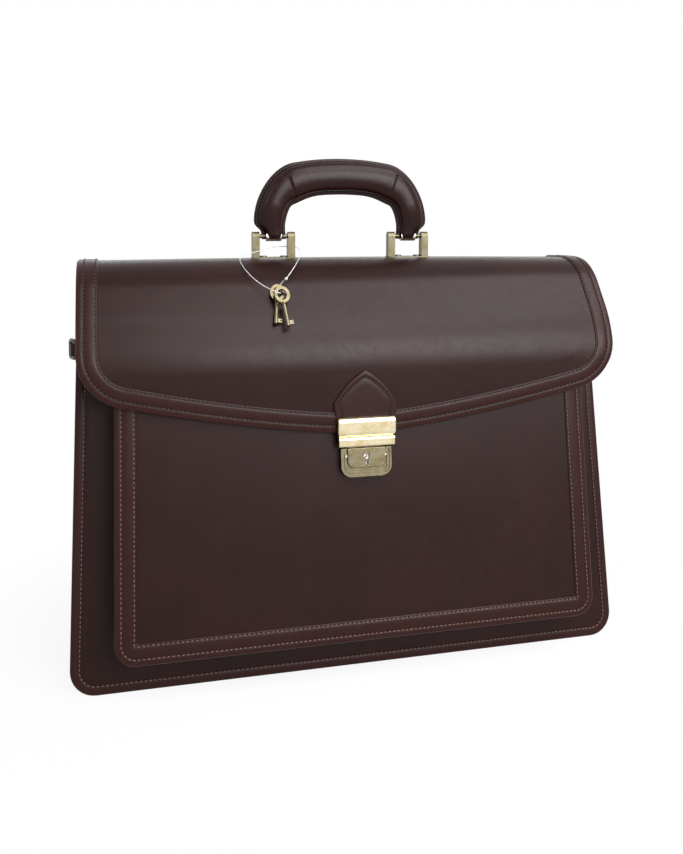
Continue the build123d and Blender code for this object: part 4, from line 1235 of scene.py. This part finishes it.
def background_share(nodes, links):
    """1 for rays that see the background: the camera's, and those off a gloss or through a clear piece."""
    seen = add(nodes, "ShaderNodeLightPath")
    share = seen.outputs["Is Camera Ray"]
    for ray in ("Is Glossy Ray", "Is Transmission Ray"):
        either = add(nodes, "ShaderNodeMath", operation="MAXIMUM")
        links.new(share, either.inputs[0])
        links.new(seen.outputs[ray], either.inputs[1])
        share = either.outputs["Value"]
    return share


class BRIEFCASE_OT_stage(bpy.types.Operator):
    """Make the floor, lights, world and camera"""

    bl_idname = "briefcase.stage"
    bl_label = "Stage"

    def execute(self, context):
        stage = context.scene.briefcase_stage
        scene = context.scene
        mesh = bpy.data.meshes.new("floor")
        reach = 6.0
        corners = [(-reach, -reach, 0), (reach, -reach, 0), (reach, reach, 0), (-reach, reach, 0)]
        mesh.from_pydata(corners, [], [(0, 1, 2, 3)])
        floor = bpy.data.objects.new("floor", mesh)
        scene.collection.objects.link(floor)
        material = bpy.data.materials.new("floor_paper")
        material.use_nodes = True
        nodes, links = material.node_tree.nodes, material.node_tree.links
        nodes.clear()
        out = nodes.new("ShaderNodeOutputMaterial")
        paper = add(nodes, "ShaderNodeBsdfDiffuse")
        paper.inputs["Color"].default_value = (*stage.floor, 1)
        glow = add(nodes, "ShaderNodeEmission", Strength=1.0)
        place = add(nodes, "ShaderNodeTexCoord")
        far = add(nodes, "ShaderNodeVectorMath", operation="LENGTH")
        links.new(place.outputs["Object"], far.inputs[0])
        fade = add(nodes, "ShaderNodeMapRange")
        fade.inputs["From Min"].default_value = 0.1
        fade.inputs["To Min"].default_value = 0.85
        fade.inputs["From Max"].default_value = 0.36
        links.new(far.outputs["Value"], fade.inputs["Value"])
        both = add(nodes, "ShaderNodeMath", operation="MULTIPLY")
        links.new(fade.outputs["Result"], both.inputs[0])
        links.new(background_share(nodes, links), both.inputs[1])
        mix = add(nodes, "ShaderNodeMixShader")
        links.new(both.outputs["Value"], mix.inputs["Fac"])
        links.new(paper.outputs["BSDF"], mix.inputs[1])
        links.new(glow.outputs["Emission"], mix.inputs[2])
        links.new(mix.outputs["Shader"], out.inputs["Surface"])
        mesh.materials.append(material)
        world = bpy.data.worlds.new("studio")
        world.use_nodes = True
        nodes, links = world.node_tree.nodes, world.node_tree.links
        nodes.clear()
        out = nodes.new("ShaderNodeOutputWorld")
        room = add(nodes, "ShaderNodeBackground", Strength=ROOM_LIGHT)
        white = add(nodes, "ShaderNodeBackground", Strength=1.0)
        mix = add(nodes, "ShaderNodeMixShader")
        links.new(background_share(nodes, links), mix.inputs["Fac"])
        links.new(room.outputs["Background"], mix.inputs[1])
        links.new(white.outputs["Background"], mix.inputs[2])
        room.inputs["Color"].default_value = (1, 1, 1, 1)
        white.inputs["Color"].default_value = (1, 1, 1, 1)
        links.new(mix.outputs["Shader"], out.inputs["Surface"])
        scene.world = world
        for name, spot, size, watts in LAMPS:
            light = bpy.data.lights.new(name, "AREA")
            light.shape = "RECTANGLE"
            light.size, light.size_y = size
            light.energy = watts
            lamp = bpy.data.objects.new(name, light)
            lamp.location = spot
            aim = AIM - Vector(spot)
            lamp.rotation_euler = aim.to_track_quat("-Z", "Y").to_euler()
            scene.collection.objects.link(lamp)
        data = bpy.data.cameras.new("camera")
        data.lens = stage.lens
        data.sensor_width = 36.0
        data.shift_y = CAMERA_SHIFT
        camera = bpy.data.objects.new("camera", data)
        camera.location = CAMERA_PLACE
        camera.rotation_euler = (math.radians(90 - CAMERA_DOWN), 0, math.radians(CAMERA_TURN))
        scene.collection.objects.link(camera)
        scene.camera = camera
        scene.view_settings.view_transform = "Standard"
        return {"FINISHED"}


class BRIEFCASE_PT_pieces(bpy.types.Panel):
    """The briefcase's pieces, in the order they are made"""

    bl_label = "Briefcase"
    bl_idname = "BRIEFCASE_PT_pieces"
    bl_space_type = "VIEW_3D"
    bl_region_type = "UI"
    bl_category = "Briefcase"

    def draw(self, context):
        for step in STEPS:
            self.layout.operator(step.bl_idname)
        for group in ("briefcase_leather", "briefcase_stitch", "briefcase_stage"):
            settings = getattr(context.scene, group)
            for prop in settings.bl_rna.properties:
                if not prop.is_readonly and prop.identifier != "name":
                    self.layout.prop(settings, prop.identifier)


STEPS = (
    BRIEFCASE_OT_panels, BRIEFCASE_OT_gussets, BRIEFCASE_OT_pocket, BRIEFCASE_OT_flap, BRIEFCASE_OT_linings,
    BRIEFCASE_OT_handle, BRIEFCASE_OT_tab, BRIEFCASE_OT_thread, BRIEFCASE_OT_metal, BRIEFCASE_OT_stage,
)
GROUPS = (
    ("briefcase_leather", BRIEFCASE_PG_leather), ("briefcase_stitch", BRIEFCASE_PG_stitch),
    ("briefcase_stage", BRIEFCASE_PG_stage),
)


def register():
    for name, group in GROUPS:
        bpy.utils.register_class(group)
        setattr(bpy.types.Scene, name, PointerProperty(type=group))
    for step in STEPS:
        bpy.utils.register_class(step)
    bpy.utils.register_class(BRIEFCASE_PT_pieces)


def unregister():
    bpy.utils.unregister_class(BRIEFCASE_PT_pieces)
    for step in reversed(STEPS):
        bpy.utils.unregister_class(step)
    for name, group in reversed(GROUPS):
        delattr(bpy.types.Scene, name)
        bpy.utils.unregister_class(group)


def main():
    register()
    make_materials(bpy.context)
    for step in STEPS:
        group, name = step.bl_idname.split(".")
        getattr(getattr(bpy.ops, group), name)()


if __name__ == "__main__":
    main()
